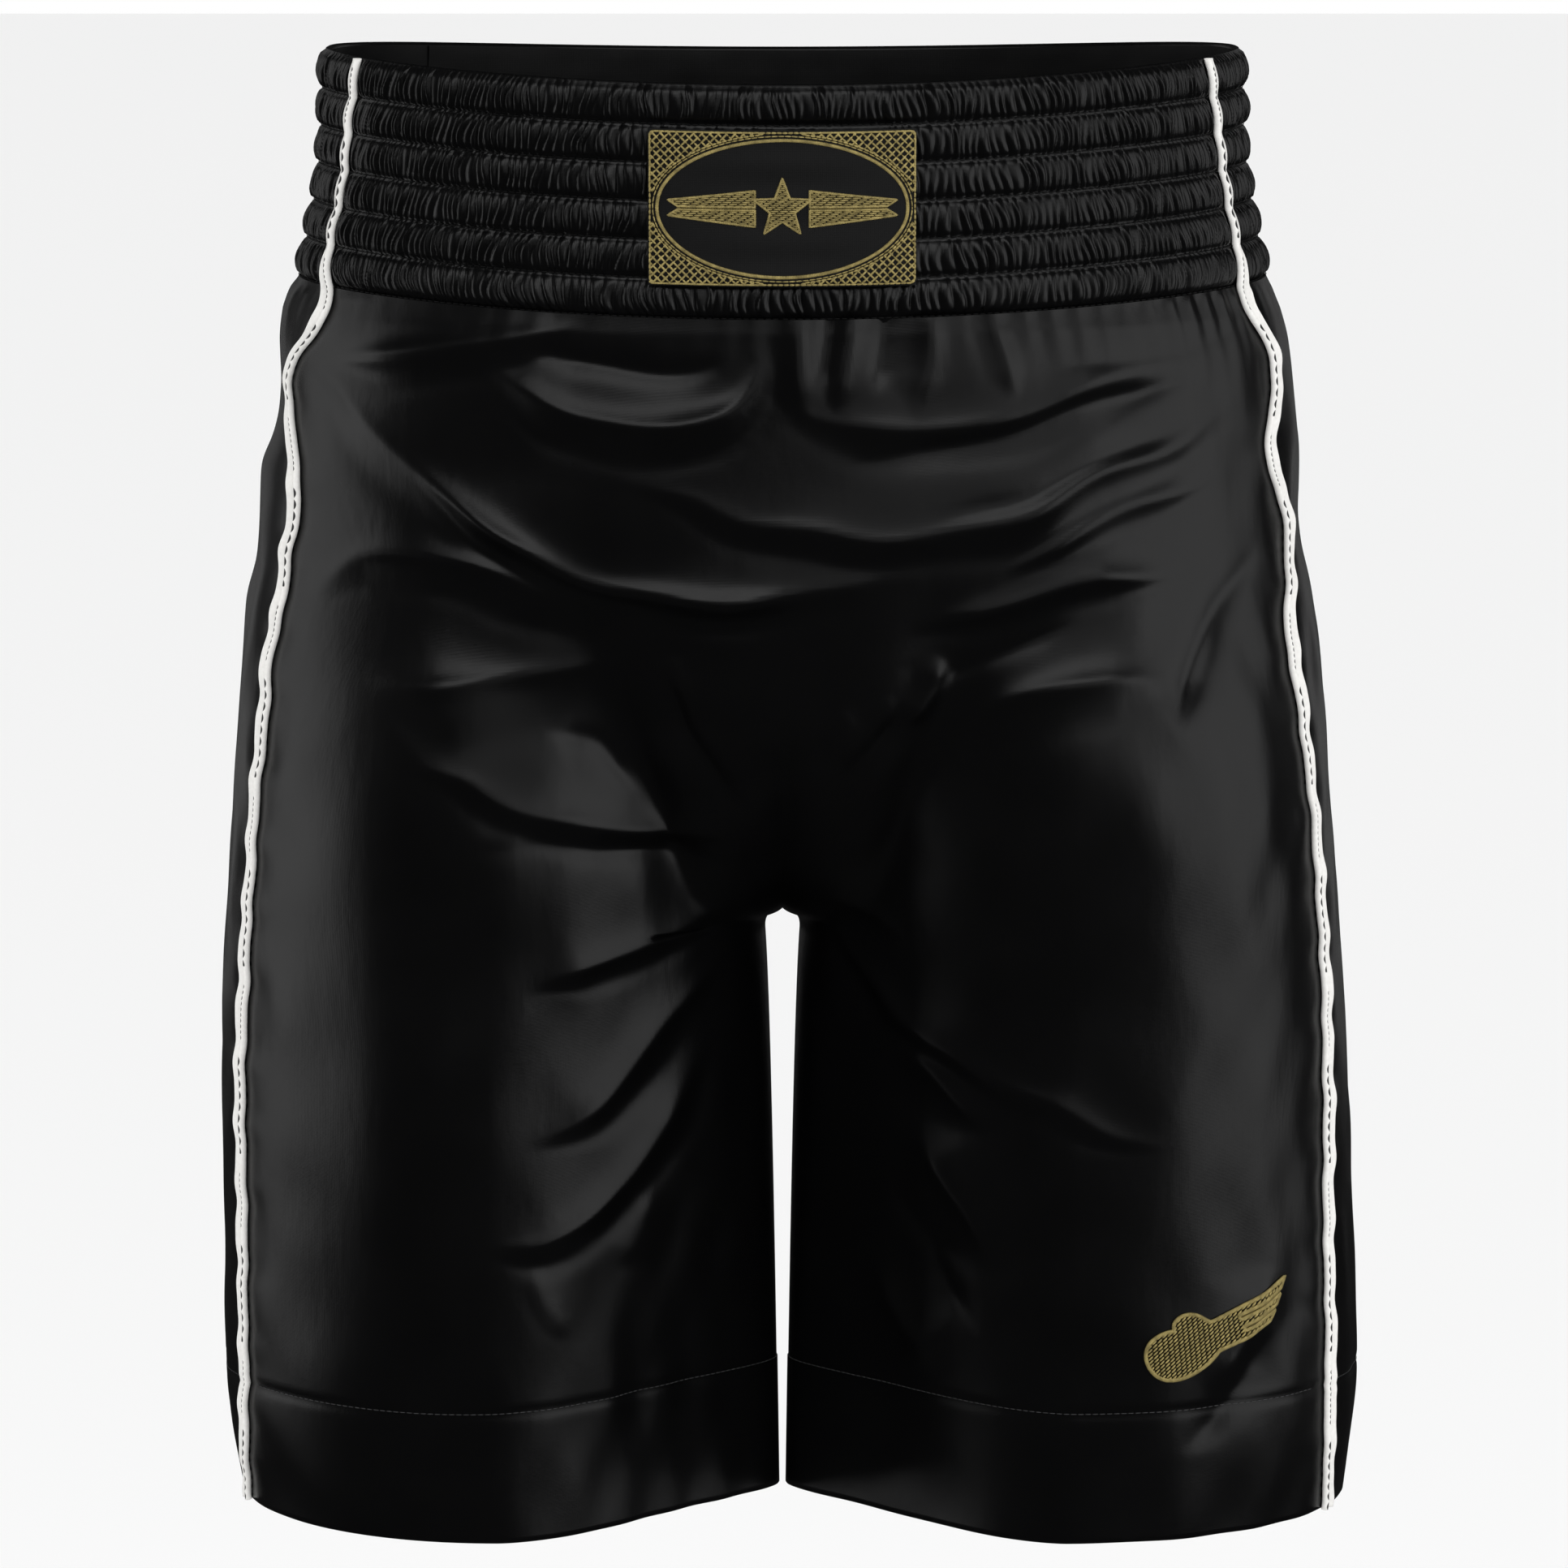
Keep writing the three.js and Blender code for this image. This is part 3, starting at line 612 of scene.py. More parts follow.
def woven(name, dark, light, roughness, pitch, depth, **sockets):
    """Cloth: crossed threads of a pitch in mm, with slow changes of colour and gloss."""
    material, tree, shader = new_material(name, light, roughness[0], **sockets)
    across, along = cut_coordinates(tree)
    weave = maths("MULTIPLY", thread_wave(along, pitch), thread_wave(across, pitch * 1.3))
    cloudy = object_noise(tree, 34, 3)
    creased = object_noise(tree, 160, 3, (1, 1, 0.4))
    feed(shader.inputs["Base Color"], tinted(cloudy, dark, light))
    feed(shader.inputs["Roughness"], ranged(cloudy, *roughness))
    bumped(shader, (creased, 0.5, 0.25), (weave, depth, 0.6))
    return material


def elastic_material():
    """Ribbed elastic: raised cords round the waist, crossed by fine threads."""
    material, tree, shader = new_material("elastic", (0.012, 0.012, 0.013), 0.75)
    place = node(tree, "ShaderNodeTexCoord").outputs["Object"]
    split = node(tree, "ShaderNodeSeparateXYZ", {"Vector": place})
    cords = thread_wave(maths("MULTIPLY", split.outputs["Z"], 1 / MM), 1.4)
    fuzz = object_noise(tree, 900, 4)
    feed(shader.inputs["Base Color"], tinted(fuzz, (0.008, 0.008, 0.009), (0.02, 0.02, 0.022)))
    bumped(shader, (cords, 0.4, 0.8), (fuzz, 0.1, 0.4))
    return material


def thread_material(name, dark, light, roughness, **sockets):
    """Twisted thread with small changes of colour and a fine rib."""
    material, tree, shader = new_material(name, light, roughness, **sockets)
    feed(shader.inputs["Base Color"], tinted(object_noise(tree, 420, 4), dark, light))
    bumped(shader, (object_noise(tree, 2600, 2), 0.12, 0.5))
    return material


# Dots printed along the tape: the length of each repeat, how far across the tape they lie, and
# their rows as (from, to, pitch, half width, share of the pitch filled)
PRINT = Sizes(repeat=73.0, across=0.6)
PRINT_ROWS = [(3, 25, 2.2, 0.85, 0.4), (31, 69, 4.4, 1.3, 0.42)]


def printed_row(across, along, first, last, pitch, half_width, fill):
    """1 inside a row of dots between two distances along each repeat of the tape."""
    from_start = maths("SUBTRACT", along, first)
    between = maths("MULTIPLY", maths("GREATER_THAN", from_start), maths("LESS_THAN", along, last))
    cell = maths("FRACT", maths("DIVIDE", from_start, pitch))
    off_middle = maths("ABSOLUTE", maths("SUBTRACT", cell, 0.5))
    aside = maths("ABSOLUTE", maths("SUBTRACT", across, PRINT.across))
    along_share, across_share = maths("DIVIDE", off_middle, fill), maths("DIVIDE", aside, half_width)
    reach = maths("ADD", maths("POWER", along_share, 2.0), maths("POWER", across_share, 2.0))
    return maths("MULTIPLY", maths("LESS_THAN", reach, 1.0), between)


def tape_material():
    """Off-white twill tape with rows of small and large black dots printed along its bead."""
    material, tree, shader = new_material("piping_tape", (0.78, 0.77, 0.74), 0.55, Sheen_Weight=0.1)
    across, length = cut_coordinates(tree)
    along = maths("MULTIPLY", maths("FRACT", maths("DIVIDE", length, PRINT.repeat)), PRINT.repeat)
    marks = maths("MAXIMUM", *[printed_row(across, along, *row) for row in PRINT_ROWS])
    pale = tinted(object_noise(tree, 700, 3), (0.66, 0.65, 0.62), (0.84, 0.83, 0.81))
    black = (0.012, 0.012, 0.013, 1)
    mix = node(tree, "ShaderNodeMix", data_type="RGBA")
    for socket, value in zip((mix.inputs["Factor"], *mix.inputs[6:8]), (marks, pale, black)):
        feed(socket, value)
    feed(shader.inputs["Base Color"], mix.outputs[2])
    bumped(shader, (thread_wave(maths("ADD", across, length), 0.6), 0.06, 0.6))
    return material


SATIN = woven(
    "satin", (0.0012, 0.0012, 0.0013), (0.0022, 0.0022, 0.0024), (0.22, 0.29), 0.4, 0.03,
    Specular_IOR_Level=0.45, Anisotropic=0.3,
)
FACING = woven(
    "facing_cloth", (0.0018, 0.0018, 0.002), (0.0032, 0.0032, 0.0035), (0.5, 0.62), 0.5, 0.05,
    Specular_IOR_Level=0.35,
)
ELASTIC = elastic_material()
TAPE = tape_material()
GOLD = thread_material(
    "gold_thread", (0.05, 0.038, 0.012), (0.66, 0.53, 0.2), 0.3, Metallic=0.4, Specular_IOR_Level=0.6
)
SEWING = thread_material("sewing_thread", (0.02, 0.02, 0.021), (0.05, 0.05, 0.052), 0.5)
# The sewing thread again, painted far darker: painted shade of the channel grooves these stitches lie in
GROOVE_SHADED_SEWING = thread_material("sewing_thread_painted_groove_shade", (0.0012, 0.0012, 0.0013), (0.0025, 0.0025, 0.0027), 0.7)
FILLER = thread_material("filler_cord", (0.55, 0.53, 0.48), (0.72, 0.7, 0.64), 0.85)
LABEL_CLOTH = woven(
    "woven_label", (0.0018, 0.0018, 0.002), (0.0034, 0.0034, 0.0037), (0.62, 0.75), 0.55, 0.09
)


# ---- the four panels
def row_heights():
    """Heights of the rows for columns away from the centre seam and for those on it, and lifts."""
    top = np.linspace(-BAND_HEIGHT - PANEL_DROP, RISE_TOP_Z, TOP_ROWS, endpoint=False)
    rise = np.linspace(0, 1, RISE_ROWS, endpoint=False)
    arch = np.linspace(0, 1, ARCH_ROWS, endpoint=False)
    thigh = np.linspace(CROTCH_Z - CROTCH_ARCH, HEM_Z + HEM_DEPTH, THIGH_ROWS, endpoint=False)
    hem = np.linspace(HEM_Z + HEM_DEPTH, HEM_Z, HEM_ROWS)
    turnup = np.linspace(HEM_Z, HEM_Z + HEM_DEPTH, TURNUP_ROWS)
    edge = [HEM_Z - HEM_ROUND]
    outer = [top, lerp(RISE_TOP_Z, CROTCH_Z, rise), CROTCH_Z - CROTCH_ARCH * arch]
    centre = [
        top,
        lerp(RISE_TOP_Z, CROTCH_Z, np.sin(rise * pi / 2)),
        CROTCH_Z - CROTCH_ARCH * (1 - np.cos(arch * pi / 2)),
    ]
    rest = [thigh, hem, edge, turnup]
    straight = sum(len(part) for part in (*outer, thigh, hem))
    lifts = np.concatenate([np.zeros(straight), [TURNUP_LIFT / 2], np.full(TURNUP_ROWS, TURNUP_LIFT)])
    return np.concatenate(outer + rest), np.concatenate(centre + rest), lifts


def panel_grid(side, is_front):
    """Points of one panel, its rows running down and its columns towards the back."""
    outer, centre, lifts = row_heights()
    columns = (FRONT_COLUMNS if is_front else BACK_COLUMNS) + 1
    share = np.linspace(0, 1, columns)[None, :]
    z = np.repeat(outer[:, None], columns, axis=1)
    for _ in range(2):
        seam = seam_turn(side, z)
        turn = seam * share if is_front else seam + (pi - seam) * share
        at_centre = ease(np.abs(np.cos(turn)), CROTCH_REACH, 1)
        z = lerp(outer[:, None], centre[:, None], at_centre)
    return cloth(side, turn, z, lifts[:, None]), turn, z


def make_panel(side, half):
    """One panel with its turned-up hem, from the band to the hem."""
    points, turn, z = panel_grid(side, half == "front")
    uv = np.stack([turn * OUTLINE[2, 1] * MM + 0.1, z * MM + 0.7], -1)
    make_sheet(
        f"satin_{half}_{WORD[side]}", points, uv, SATIN, "satin", f"{half}_panel_{WORD[side]}",
        CLOTH_THICKNESS, flip=side < 0,
    )


# ---- the waistband
BAND = Sizes(
    column=0.42, rows=10, puff=2.0, roundness=0.42, groove_pleats=0.2,
    seam_low=1.0, seam_high=6.0, seam_share=0.2, half_turn=1.18, chords=399,
)
PLEAT = Sizes(
    widths=(1.9, 4.0), sizes=(0.35, 1.1), peaks=(0.3, 0.95), height=1.8, slant=0.7, wander=0.6, lead=30,
    sharpness=0.75, sunk=0.4, falloff=0.6, falloff_reach=0.55, spare=20,
)
# Rows rolled in over the top edge, as (height, offset, how fully the puffs give way to it)
BAND_ROLL = [(0.5, -2.2, 0.4), (0.9, -3.2, 0.65), (0.6, -4.1, 0.9), (-0.3, -4.6, 1), (-2.0, -4.7, 1)]
BAND_TUCK_UNDER = [(-85.2, -2.4), (-87.5, -2.8)]  # rows under the lower edge, as (height, offset)


def pleats(run, down, channel, total, lean):
    """Rounded pleats with sharp folds between them, from 0 to about 1, in one channel."""
    draw = np.random.default_rng(SEED * 100 + channel)
    count = int(total / PLEAT.widths[0]) + PLEAT.spare
    edges = np.cumsum(draw.uniform(*PLEAT.widths, count)) - PLEAT.lead
    size = draw.uniform(*PLEAT.sizes, count)
    peak = draw.uniform(*PLEAT.peaks, count)
    wander = PLEAT.wander * (np.sin(run / 7 + 5 * down + channel) + 0.6 * np.sin(run / 2.3 - 4 * down))
    place = np.interp(run + lean * (down - 0.5) + wander, edges, np.arange(count))
    cell = np.clip(place.astype(int), 0, count - 1)
    ridge = np.abs(np.sin(pi * (place - cell))) ** PLEAT.sharpness
    from_peak = np.minimum(np.abs(down - peak[cell]) / PLEAT.falloff_reach, 1)
    body = 1 - PLEAT.falloff * from_peak**2
    return size[cell] * ridge * body


def band_grid(edges, total):
    """Points of a gathered shell between two seams, given as functions of height."""
    rows = CHANNELS * BAND.rows + 1
    z = -np.linspace(0, BAND_HEIGHT, rows)[:, None]
    columns = int(total / BAND.column)
    start, end = edges(z)
    share = np.linspace(0, 1, columns)[None, :]
    turn = lerp(start, end, share)
    run = share * total + 0 * z
    channel = np.clip((-z / PITCH).astype(int), 0, CHANNELS - 1)
    down = -z / PITCH - channel + 0 * run
    puff = np.sin(pi * np.clip(down, 0, 1)) ** BAND.roundness
    from_seam = np.minimum(run, total - run)
    clear = lerp(BAND.seam_share, 1, ease(from_seam, BAND.seam_low, BAND.seam_high))
    lean = -PLEAT.slant * np.sin(turn) * np.cos(turn) * 2
    pleat = np.zeros(run.shape)
    for k in range(CHANNELS):
        here = channel[:, 0] == k
        pleat[here] = pleats(run[here], down[here], k, total, lean[here])
    swell = BAND.puff * puff * clear
    fine = PLEAT.height * pleat * lerp(BAND.groove_pleats, 1, puff) * clear
    offset = swell + fine - TUCK - PLEAT.height * PLEAT.sunk
    points = on_band(turn, z, offset)
    roll = [
        on_band(turn[:1], height, lerp(offset[:1], inset, blend)) for height, inset, blend in BAND_ROLL
    ]
    under = [on_band(turn[-1:], height, inset) for height, inset in BAND_TUCK_UNDER]
    return np.concatenate([*roll[::-1], points, *under]), run


def make_band(half, edges, start, end):
    """One length of gathered cloth, wrapped in over the band's edges."""
    middle = on_band(np.linspace(start, end, BAND.chords + 1), -BAND_HEIGHT / 2, 0.0)
    points, run = band_grid(edges, np.linalg.norm(np.diff(middle, axis=0), axis=1).sum())
    rows, columns = points.shape[:2]
    across = np.repeat(run[:1], rows, axis=0) * MM + 0.02
    along = np.repeat(np.linspace(0.2, 0.1, rows)[:, None], columns, axis=1)
    make_sheet(
        f"waistband_{half}_cloth", points, np.stack([across, along], -1), SATIN, "shirred_satin",
        f"waistband_{half}",
    )


STRIP = Sizes(
    offset=-5.4, join=2 * pi * 18 / 28, overlap=0.045, step=0.7, lap_share=0.975, thick=0.5, columns=320,
    rows=40, top=-0.4, ripples=(0.175, 26, 7), groove=0.25, groove_spread=1.6, fullness=1.2,
)


def facing_grid():
    """The smooth inner cloth, one strip whose ends overlap behind the right hip."""
    share = np.linspace(0, 1, STRIP.columns)[None, :]
    z = np.linspace(STRIP.top, -BAND_HEIGHT, STRIP.rows)[:, None] + 0 * share
    turn = STRIP.join + share * (2 * pi + STRIP.overlap) + 0 * z
    to_line = np.abs(-z / PITCH - np.round(-z / PITCH)) * PITCH
    held = np.exp(-((to_line / STRIP.groove_spread) ** 2)) * STRIP.groove
    ripple = ripple_field(turn * OUTLINE[0, 1], z, *STRIP.ripples, SEED + 5)
    over = STRIP.step * ease(share, STRIP.lap_share, 1.0)
    return on_band(turn, z, STRIP.offset + ripple + held - over), turn, z


def make_facing():
    points, turn, z = facing_grid()
    uv = np.stack([(turn - STRIP.join) * OUTLINE[0, 1] * MM / STRIP.fullness, z * MM + 0.2], -1)
    make_sheet(
        "facing_strip", points, uv, FACING, "facing_cloth", "waistband_facing",
        STRIP.thick,
    )


# ---- threads
# Along each stitch, as (share of its length, share of its full radius)
STITCH_STATIONS = ((0.0, 0.35), (0.2, 0.92), (0.5, 1.0), (0.8, 0.92), (1.0, 0.35))
STITCH_SIDES = 6
SUNK_SHARE = 0.6  # how far above the cloth a thread's middle lies, as a share of its radius


def stitches(name, starts, ends, outward, radius, material, arch=0.4):
    """Short plump threads from start to end, arched outwards by a share of their radius."""
    ahead = unit(ends - starts)
    aside = unit(np.cross(ahead, outward))
    upward = np.cross(aside, ahead)
    starts, ends, aside, upward = (part[:, None, None] for part in (starts, ends, aside, upward))
    share, fullness = np.array(STITCH_STATIONS).T.reshape(2, -1, 1, 1)
    angle = np.arange(STITCH_SIDES)[:, None] * 2 * pi / STITCH_SIDES
    centre = lerp(starts, ends, share) + upward * (radius * arch * np.sin(pi * share))
    reach = radius * fullness
    points = centre + aside * (reach * np.cos(angle)) + upward * (reach * np.sin(angle))
    one = tube_faces(len(STITCH_STATIONS), STITCH_SIDES)
    size = STITCH_SIDES * len(STITCH_STATIONS)
    firsts = range(0, len(starts) * size, size)
    faces = [[first + corner for corner in face] for first in firsts for face in one]
    return new_object(name, points, faces, material)


def embroider(name, pieces, place, radius, *nodes, arch=0.4):
    """Gold threads drawn flat as pairs of (x, y), laid on a surface by place(x, y, lift)."""
    starts, ends = (np.array([pair[k] for pair in pieces], float) for k in range(2))
    laid = [place(*part.T, radius * SUNK_SHARE) for part in (starts, ends)]
    above = [place(*part.T, radius * SUNK_SHARE + 1) for part in (starts, ends)]
    outward = unit((above[0] - laid[0]) + (above[1] - laid[1]))
    place_piece(stitches(name, *laid, outward, radius, GOLD, arch), "gold_thread", *nodes)


def fill_stitches(loop, spacing, length, heading=0.0, gap=0.12):
    """Parallel stitches that fill a closed outline, each row staggered against the last."""
    cos, sin = math.cos(heading), math.sin(heading)
    turned = np.array(loop, float) @ np.array([[cos, -sin], [sin, cos]])
    nexts = np.roll(turned, -1, axis=0)
    low, high = np.minimum(turned[:, 1], nexts[:, 1]), np.maximum(turned[:, 1], nexts[:, 1])
    made = []
    for row, level in enumerate(np.arange(low.min() + spacing / 2, high.max(), spacing)):
        cut = (low <= level) & (high > level)
        a, b = turned[cut], nexts[cut]
        crossings = np.sort(a[:, 0] + (level - a[:, 1]) * (b[:, 0] - a[:, 0]) / (b[:, 1] - a[:, 1]))
        for left, right in zip(crossings[::2], crossings[1::2]):
            stagger = (row % 3) * length / 3
            for k in range(math.floor((left - stagger) / length), math.ceil((right - stagger) / length)):
                start = max(left, k * length + stagger + gap)
                end = min(right, (k + 1) * length + stagger - gap)
                if end - start > 3 * gap:
                    made.append(((start, level), (end, level)))
    back = np.array([[cos, sin], [-sin, cos]])
    return [(np.array(s) @ back, np.array(e) @ back) for s, e in made]


def resample(loop, step):
    """Points and their sideways directions at even steps round a closed outline."""
    closed = np.array([*loop, loop[0]], float)
    run = run_along(closed)
    at = np.arange(0, run[-1], step)
    points = np.stack([np.interp(at, run, closed[:, k]) for k in range(2)], -1)
    ahead = unit(np.roll(points, -1, axis=0) - np.roll(points, 1, axis=0))
    return points, np.stack([-ahead[:, 1], ahead[:, 0]], -1)


def border_stitches(loop, width, step):
    """Satin stitch: short threads laid across an outline."""
    points, aside = resample(loop, step)
    return list(zip(points - aside * width / 2, points + aside * width / 2))


def line_stitches(loop, length, gap=0.1):
    """Running stitch along an outline."""
    points, _ = resample(loop, length)
    following = np.roll(points, -1, axis=0)
    return [(a + (b - a) * gap / length, b) for a, b in zip(points, following)]


# ---- label and its embroidery
LABEL = Sizes(width=97.0, height=57.0, drop=44.0, offset=2.9, step=0.75, wave=0.3, thick=0.7, curl=0.7)
OVAL = Sizes(
    width=46.6, height=26.4, ring=1.3, inset=(1.6, 1.5), step=0.42, radius=0.27, edge=2.4,
    clear=(1.02, 1.03), corner_arc=(12, 82),
)
STAR = Sizes(radius=11.0, waist=0.42)
WING = Sizes(start=9.85, reach=41.0, half=6.5, tip=2.8, notch=3.5, slot=0.55)
LATTICE = Sizes(pitch=2.1, radius=0.4, margin=0.9, edge=2.0, gap=0.05, arch=0.3)
FILL = Sizes(radius=0.3, spacing=0.7, length=3.4, border=0.9, step=0.42)


def on_label(x, y, lift):
    """Points of the label's face, x along the band and y up from its middle."""
    x, y = np.broadcast_arrays(np.asarray(x, float), np.asarray(y, float))
    z = y - LABEL.drop
    pressed = LABEL.wave * np.cos(2 * pi * z / PITCH) * np.cos(x / 23)
    curl = LABEL.curl * np.maximum(np.abs(x) / (LABEL.width / 2), np.abs(y) / (LABEL.height / 2)) ** 14
    return on_band(np.arcsin(x / outline(z, 1)), z, LABEL.offset + pressed - curl + lift)


def make_label():
    half_width, half_height = LABEL.width / 2, LABEL.height / 2
    x = np.arange(-half_width, half_width + LABEL.step / 2, LABEL.step)[None, :]
    y = np.arange(half_height, -half_height - LABEL.step / 2, -LABEL.step)[:, None]
    uv = np.stack(np.broadcast_arrays(x * MM + 0.1, y * MM + 0.1), -1)
    make_sheet(
        "label_cloth", on_label(x, y, 0.0), uv, LABEL_CLOTH, "woven_label", "waist_label",
        LABEL.thick,
    )


def ellipse(half_width, half_height, degrees=np.arange(0, 360, 2)):
    angles = np.radians(degrees)
    return np.stack([half_width * np.cos(angles), half_height * np.sin(angles)], -1)


def corner_loop(across, up, edge):
    """The corner of the label outside the oval, on the side that the signs give."""
    arc = np.linspace(*OVAL.corner_arc, 40)
    curve = np.minimum(ellipse(OVAL.width, OVAL.height, arc) * OVAL.clear, edge)
    return np.array([*curve, (curve[-1][0], edge[1]), edge, (edge[0], curve[0][1])]) * (across, up)


def make_label_threads():
    """A lattice in the corners with an edge all round, and the ring of the oval."""
    edge = (LABEL.width / 2 - LATTICE.margin, LABEL.height / 2 - LATTICE.margin)
    lattice = []
    for across, up in itertools.product((-1, 1), repeat=2):
        loop = corner_loop(across, up, edge)
        for heading in (pi / 4, -pi / 4):
            lattice += fill_stitches(loop, LATTICE.pitch, 2 * LATTICE.pitch, heading, LATTICE.gap)
        lattice += line_stitches(loop, LATTICE.edge)
    corners = np.array([(-1, -1), (1, -1), (1, 1), (-1, 1)]) * edge
    lattice += line_stitches(corners, LATTICE.edge)
    embroider("label_corners", lattice, on_label, LATTICE.radius, arch=LATTICE.arch)
    inner = ellipse(OVAL.width - OVAL.inset[0], OVAL.height - OVAL.inset[1])
    ring = border_stitches(inner, OVAL.ring, OVAL.step)
    ring += line_stitches(ellipse(OVAL.width, OVAL.height), OVAL.edge)
    embroider("label_ring", ring, on_label, OVAL.radius, "label_oval")


def star_loops():
    """A five-pointed star with a wing to each side, cut in two by a slot along the middle."""
    angles = pi / 2 + np.arange(10) * pi / 5
    lengths = STAR.radius * np.where(np.arange(10) % 2, STAR.waist, 1)
    star = np.stack([lengths * np.cos(angles), lengths * np.sin(angles)], -1)
    wing = np.array([
        (WING.start, WING.slot),
        (WING.start, WING.half),
        (WING.reach, WING.tip),
        (WING.reach - WING.notch, WING.slot),
    ])
    return [star, *[wing * signs for signs in itertools.product((-1, 1), repeat=2)]]


def make_star():
    pieces = []
    for loop in star_loops():
        pieces += fill_stitches(loop, FILL.spacing, FILL.length)
        pieces += border_stitches(loop, FILL.border, FILL.step)
    embroider("label_star_and_wings", pieces, on_label, FILL.radius, "label_star")


# ---- leg emblem
EMBLEM = Sizes(
    turn=1.05, z=-473.5, slant=0.36, lift=0.35, stretch=(1.25, 0.85), heading=math.radians(24),
    radius=0.4, spacing=1.1, length=2.6, border=1.6, border_step=0.6,
)
GLOVE_CURVES = [
    [(-3.8, -7.2), (-8.6, -12), (-15.8, -13.6), (-20.6, -10.4)],
    [(-20.6, -10.4), (-26.2, -7.2), (-27, 4.8), (-23, 8.8)],
    [(-23, 8.8), (-20.6, 11.2), (-16.6, 11.2), (-14.2, 9.6)],
    [(-14.2, 9.6), (-15, 13.6), (-11, 16), (-7.8, 13.6)],
    [(-7.8, 13.6), (-5.4, 12), (-4.6, 8.8), (-3, 6.4)],
]
GLOVE_BARS = [
    (27, 6.4), (24, 3.2), (6, 3.2), (6, 1.2), (23, 1.2), (20, -2), (6, -2), (6, -4), (19, -4), (16, -7.2),
]


def bezier(corners, steps=12):
    a, b, c, d = (np.array(corner, float) for corner in corners)
    t = (np.arange(steps) / steps)[:, None]
    return a * (1 - t) ** 3 + 3 * b * t * (1 - t) ** 2 + 3 * c * t * t * (1 - t) + d * t**3


def glove_loop():
    """A boxing glove in outline, its fist to the left, its thumb up and three bars trailing."""
    return np.vstack([GLOVE_BARS, *[bezier(corners) for corners in GLOVE_CURVES], [(-3, 6.4)]])


def on_leg(x, y, lift):
    """Points of the emblem, x along it and y up, on the front of the wearer's left leg."""
    speed = skin_frame(np.array(EMBLEM.turn), np.array(EMBLEM.z))[3]
    cos, sin = math.cos(EMBLEM.slant), math.sin(EMBLEM.slant)
    turn = EMBLEM.turn + (x * cos - y * sin) / speed
    return cloth(1, turn, EMBLEM.z + x * sin + y * cos, EMBLEM.lift + lift)


def make_emblem():
    loop = glove_loop() * EMBLEM.stretch
    pieces = fill_stitches(loop, EMBLEM.spacing, EMBLEM.length, EMBLEM.heading)
    pieces += border_stitches(loop, EMBLEM.border, EMBLEM.border_step)
    embroider("leg_embroidery", pieces, on_leg, EMBLEM.radius, "leg_emblem")


# ---- piping
PIPING = Sizes(
    radius=1.3, flange=5.5, thick=0.85, tilt=0.34, stations=420, lift=0.2, cord=0.5, cord_sides=8,
    band_share=0.16, band_lift=-0.9, band_swell=0.9, comes_out=(BAND_HEIGHT - 14, BAND_HEIGHT + 4),
    top=0.4, past_hem=0.3, over_band=0.4, blend=4,
)
BEAD_ANGLES = np.radians(np.linspace(-28, 232, 14))


def tape_section():
    """The tape's section: a bead, then a flat flange towards the back, anticlockwise."""
    radius, flange, thick = PIPING.radius, PIPING.flange, PIPING.thick
    bead = [(radius * math.cos(a), radius + radius * math.sin(a)) for a in BEAD_ANGLES]
    base = [(-0.4, 0), (1.5, 0), (3.0, 0), (flange, 0)]
    top = [(flange + 0.2, thick / 2), (flange - 0.1, thick), (4.6, thick), (3.2, thick), (1.9, thick)]
    section = np.array([*bead, *base, *top])
    section[:, 1] += PIPING.tilt * np.maximum(section[:, 0] - radius, 0)
    return section


def on_piping(side, z, across, lift):
    """Points of the tape: narrow and sunk between the puffs on the band, full below it."""
    free = ease(-z, *PIPING.comes_out)
    puff = np.abs(np.sin(pi * z / PITCH))
    share = PIPING.band_share * (0.5 + puff)
    past = np.maximum(across - PIPING.radius, 0) * lerp(share, 1, free)
    reach = np.minimum(across, PIPING.radius) + past
    sunk = PIPING.band_lift + PIPING.band_swell * puff
    return beside_seam(side, z, reach, lift + lerp(sunk, PIPING.lift, free))


def beside_seam(side, z, across, lift):
    """Points beside the side seam, at distances across it towards the back."""
    turn = seam_turn(side, z)
    speed = skin_frame(turn, z)[3]
    turn = turn + across / speed
    under_band = np.minimum(z, -BAND_HEIGHT)
    below = cloth(side, turn, under_band, lift)
    below[..., 2] += z - under_band
    above = on_band(turn, z, lift + PIPING.over_band - TUCK)
    above[..., 0] *= side
    on_cloth = ease(z, -BAND_HEIGHT + PIPING.blend, -BAND_HEIGHT - PIPING.blend)
    return lerp(above, below, on_cloth[..., None])


def swept(side, z, section):
    """Points of a section of (across, lift) carried down the side seam."""
    return np.stack([on_piping(side, z, np.full(z.shape, across), lift) for across, lift in section], 1)


def make_piping(side):
    """The folded tape and the filler cord in its bead."""
    z = np.linspace(PIPING.top, HEM_Z - PIPING.past_hem, PIPING.stations)
    section = tape_section()
    points = swept(side, z, section)
    uv = np.stack(np.broadcast_arrays(section[None, :, 0], run_along(points[:, 0])[:, None]), -1) * MM
    tape = new_object(f"piping_{WORD[side]}", points, tube_faces(len(z), len(section), side > 0), TAPE, uv)
    place_piece(tape, "piping_tape", f"piping_tape_{WORD[side]}")
    angles = np.arange(PIPING.cord_sides) * 2 * pi / PIPING.cord_sides
    cord = [(PIPING.cord * math.cos(a), PIPING.radius + PIPING.cord * math.sin(a)) for a in angles]
    faces = tube_faces(len(z), PIPING.cord_sides, side > 0)
    core = new_object(f"piping_core_{WORD[side]}", swept(side, z, cord), faces, FILLER)
    place_piece(core, "filler_cord", f"piping_cord_{WORD[side]}")


# ---- sewing
SEWN = Sizes(
    stitch=2.7, gap=0.5, radius=0.19, sunk_radius=0.22, clearance=6.5, lift=0.2, sunk_lift=0.1,
    seam_drop=0.4, leg_points=900, band_points=1400,
)


